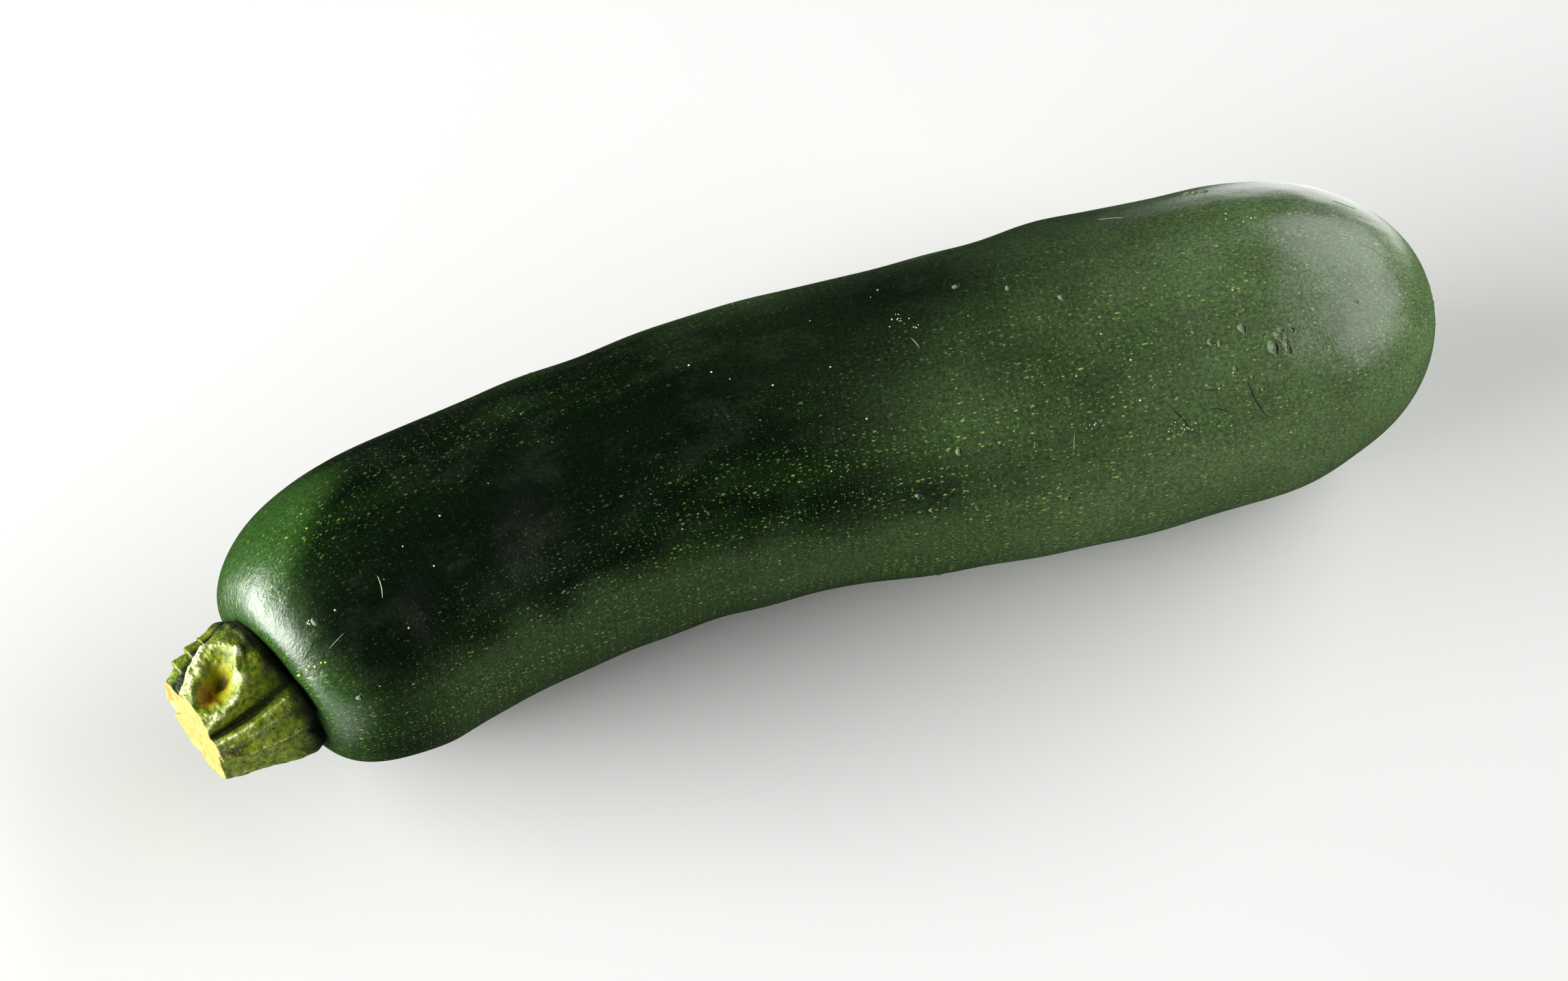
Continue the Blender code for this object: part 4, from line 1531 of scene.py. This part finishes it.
class CourgetteMakeStalk(bpy.types.Operator):
    """Makes the stalk with its ridges, its torn hollow and its cut face"""
    bl_idname = "courgette.make_stalk"
    bl_label = "Stalk"

    def execute(self, context):
        looks = context.scene.courgette_stalk
        points, faces, values = build_stalk(looks)
        piece = make_piece("stalk_skin", points, faces, stalk_material(looks), values)
        finished(piece, "stalk")
        return {"FINISHED"}


class CourgetteMakeBristles(bpy.types.Operator):
    """Makes the short stiff hairs of the stalk"""
    bl_idname = "courgette.make_bristles"
    bl_label = "Bristles"

    def execute(self, context):
        looks = context.scene.courgette_stalk
        points, faces = build_bristles(looks)
        material = plain_material("stalk_bristle_dry", looks.cork_green, 0.4)
        piece = make_piece("stalk_bristles", points, faces, material)
        finished(piece, None)
        return {"FINISHED"}


class CourgetteMakeMarks(bpy.types.Operator):
    """Makes the healed nicks, the scratches and the dry specks of the rind"""
    bl_idname = "courgette.make_marks"
    bl_label = "Marks"

    def execute(self, context):
        looks = context.scene.courgette_marks
        points, faces, shade = build_marks()
        make_piece("healed_scabs", points, faces, mark_material(looks), {"shade": shade})
        yellow = np.array([(*place, YELLOW_SPECK_RADIUS) for place in YELLOW_SPECKS])
        others = {
            "dark_scratches": (build_scratches(DARK_SCRATCHES), "scratch_dark_healed", looks.scratch_dark),
            "pale_scratches": (build_scratches(PALE_SCRATCHES), "scratch_dry_fibre", looks.scratch_pale),
            "dry_specks": (build_specks(white_specks(looks.speck_count)), "speck_dry_wax", looks.speck_white),
            "yellow_specks": (build_specks(yellow), "speck_waxy_yellow", looks.speck_yellow),
        }
        for name, (shape, finish, tint) in others.items():
            make_piece(name, *shape, plain_material(finish, tint, 0.5))
        for name in ("healed_scabs", *others):
            finished(bpy.data.objects[name], None)
        return {"FINISHED"}


# Camera: the point it looks at, its direction and distance from there, and its lens and sensor
CAMERA_AIM = (-4.9, -4.1, 26.0)
CAMERA_AZIMUTH = -20.0
CAMERA_ELEVATION = 62.0
CAMERA_DISTANCE = 627.5
CAMERA_LENS = 85.0
CAMERA_SENSOR = 36.0
CAMERA_CLIP = 10.0

# Lights: name, compass direction and height above the horizon in degrees, distance, width and height. All
# face a point above the middle of the floor
SIDE_LIGHT = ("side_light", 174.0, 15.0, 1250.0, 1080.0, 690.0)
GLOSS_LIGHT = ("gloss_light", 177.0, 4.0, 195.0, 110.0, 72.0)
FAR_LIGHT = ("far_light", 2.0, 26.0, 2000.0, 3500.0, 1550.0)
LIGHT_AIM_HEIGHT = 25.0

# White cards on the floor that show only in the gloss: name, middle x and y, half length and half width, and
# brightness
WHITE_CARDS = (
    ("card_far", 195.0, 85.0, 95.0, 55.0, 2.5),
    ("card_side", -135.0, -60.0, 35.0, 31.0, 2.2),
)
CARD_LIFT = 0.2
CARD_SOFTNESS = 0.2
WHITE = (1.0, 1.0, 1.0)
BLACK = (0.0, 0.0, 0.0)


def direction(azimuth, elevation):
    """Unit vector to a compass direction, 0 along +X and 90 along +Y, at a height above the horizon."""
    turn, rise = math.radians(azimuth), math.radians(elevation)
    return Vector((math.cos(turn) * math.cos(rise), math.sin(turn) * math.cos(rise), math.sin(rise)))


def soft_light(place, power, colours=True, gloss=True):
    """A rectangular area light that faces the middle of the fruit, and lights colours, the gloss or both."""
    name, azimuth, elevation, distance, width, height = place
    data = bpy.data.lights.new(name, "AREA")
    data.shape = "RECTANGLE"
    data.size = width * MM
    data.size_y = height * MM
    data.energy = power
    light = bpy.data.objects.new(name, data)
    away = direction(azimuth, elevation)
    light.location = (away * distance + Vector((0.0, 0.0, LIGHT_AIM_HEIGHT))) * MM
    light.rotation_euler = away.to_track_quat("Z", "Y").to_euler()
    light.visible_camera = False
    light.visible_diffuse = colours
    light.visible_glossy = gloss
    bpy.context.scene.collection.objects.link(light)


def flat_sheet(name, middle, halves, height, material):
    """A flat rectangle that faces up: its middle and half sizes in x and y, and its height."""
    signs = np.array([(-1, -1), (1, -1), (1, 1), (-1, 1)])
    corners = np.pad(middle + signs * halves, ((0, 0), (0, 1)), constant_values=height)
    return make_piece(name, corners, [np.array([[0, 1, 2, 3]])], material)


def white_card(place, strength):
    """A bright card on the floor, soft at its edge, that only mirror rays meet."""
    name, x, y, half_length, half_width, brightness = place
    material, tree, shader = new_material(name + "_white")
    flat = add_node(tree, "TexCoord", {}, {})["Object"]
    subtract = {"operation": "SUBTRACT"}
    offset = add_node(tree, "VectorMath", subtract, {0: flat, 1: (x * MM, y * MM, CARD_LIFT * MM)})[0]
    inputs = {0: offset, 1: (half_length * MM, half_width * MM, 1.0)}
    share = add_node(tree, "VectorMath", {"operation": "DIVIDE"}, inputs)[0]
    share = add_node(tree, "VectorMath", {"operation": "ABSOLUTE"}, {0: share})[0]
    out = add_node(tree, "SeparateXYZ", {}, {"Vector": share})
    edge = add_node(tree, "Math", {"operation": "MAXIMUM"}, {0: out["X"], 1: out["Y"]})[0]
    glow = brightness * strength
    inputs = {"Value": edge, "From Min": 1.0, "From Max": 1.0 - CARD_SOFTNESS, "To Max": glow}
    glow = add_node(tree, "MapRange", SMOOTH, inputs)[0]
    feed(tree, shader, {"Emission Strength": glow, "Emission Color": WHITE, "Base Color": BLACK})
    card = flat_sheet(name, (x, y), (half_length, half_width), CARD_LIFT, material)
    card.visible_camera = False
    card.visible_diffuse = False
    card.visible_transmission = False
    card.visible_shadow = False
    return card


class CourgetteMakeStage(bpy.types.Operator):
    """Makes the pale floor, the cards, the three soft lights, the room light and the camera"""
    bl_idname = "courgette.make_stage"
    bl_label = "Stage"

    def execute(self, context):
        looks = context.scene.courgette_stage
        half = looks.floor_size / MM / 2
        material, tree, shader = new_material("floor_matt_paper")
        feed(tree, shader, {"Base Color": looks.floor_colour, "Roughness": 0.9, "Specular IOR Level": 0.0})
        floor = flat_sheet("floor", (0.0, 0.0), (half, half), 0.0, material)
        floor.visible_glossy = False
        for place in WHITE_CARDS:
            white_card(place, looks.card_strength)
        soft_light(SIDE_LIGHT, looks.side_power, gloss=False)
        soft_light(GLOSS_LIGHT, looks.gloss_power, colours=False)
        soft_light(FAR_LIGHT, looks.far_power)
        world = bpy.data.worlds.new("studio")
        world.use_nodes = True
        tree = world.node_tree
        feed(tree, tree.nodes["Background"], {"Color": WHITE, "Strength": looks.room})
        context.scene.world = world

        camera = bpy.data.objects.new("camera", bpy.data.cameras.new("camera"))
        back = direction(CAMERA_AZIMUTH - 90.0, CAMERA_ELEVATION)
        camera.location = (Vector(CAMERA_AIM) + back * CAMERA_DISTANCE) * MM
        camera.rotation_euler = back.to_track_quat("Z", "Y").to_euler()
        camera.data.lens = CAMERA_LENS
        camera.data.sensor_width = CAMERA_SENSOR
        camera.data.clip_start = CAMERA_CLIP * MM
        context.scene.collection.objects.link(camera)
        context.scene.camera = camera
        context.scene.view_settings.view_transform = "Standard"
        return {"FINISHED"}


OPERATORS = (
    CourgetteMakeRind,
    CourgetteMakeScar,
    CourgetteMakeStalk,
    CourgetteMakeBristles,
    CourgetteMakeMarks,
    CourgetteMakeStage,
)


class CourgettePanel(bpy.types.Panel):
    """Lists the operators and their settings in the sidebar"""
    bl_idname = "VIEW3D_PT_courgette"
    bl_label = "Courgette"
    bl_space_type = "VIEW_3D"
    bl_region_type = "UI"
    bl_category = "Courgette"

    def draw(self, context):
        """Draws a button for each operator, and each setting; a group's first two entries aren't settings"""
        for operator in OPERATORS:
            self.layout.operator(operator.bl_idname)
        for key in SETTINGS:
            group = getattr(context.scene, key)
            for name in group.bl_rna.properties.keys()[2:]:
                self.layout.prop(group, name)


SETTINGS = {
    "courgette_rind": CourgetteRindLooks,
    "courgette_stalk": CourgetteStalkLooks,
    "courgette_marks": CourgetteMarkLooks,
    "courgette_stage": CourgetteStageLooks,
}
CLASSES = (*SETTINGS.values(), *OPERATORS, CourgettePanel)


def register():
    """Registers the classes and hangs the groups of settings on the scene."""
    for entry in CLASSES:
        bpy.utils.register_class(entry)
    for key, group in SETTINGS.items():
        setattr(bpy.types.Scene, key, bpy.props.PointerProperty(type=group))


def unregister():
    """Undoes what register did."""
    for key in SETTINGS:
        delattr(bpy.types.Scene, key)
    for entry in reversed(CLASSES):
        bpy.utils.unregister_class(entry)


def main():
    """Makes the stage and every piece."""
    register()
    bpy.ops.courgette.make_stage()
    bpy.ops.courgette.make_rind()
    bpy.ops.courgette.make_scar()
    bpy.ops.courgette.make_stalk()
    bpy.ops.courgette.make_bristles()
    bpy.ops.courgette.make_marks()


if __name__ == "__main__":
    main()
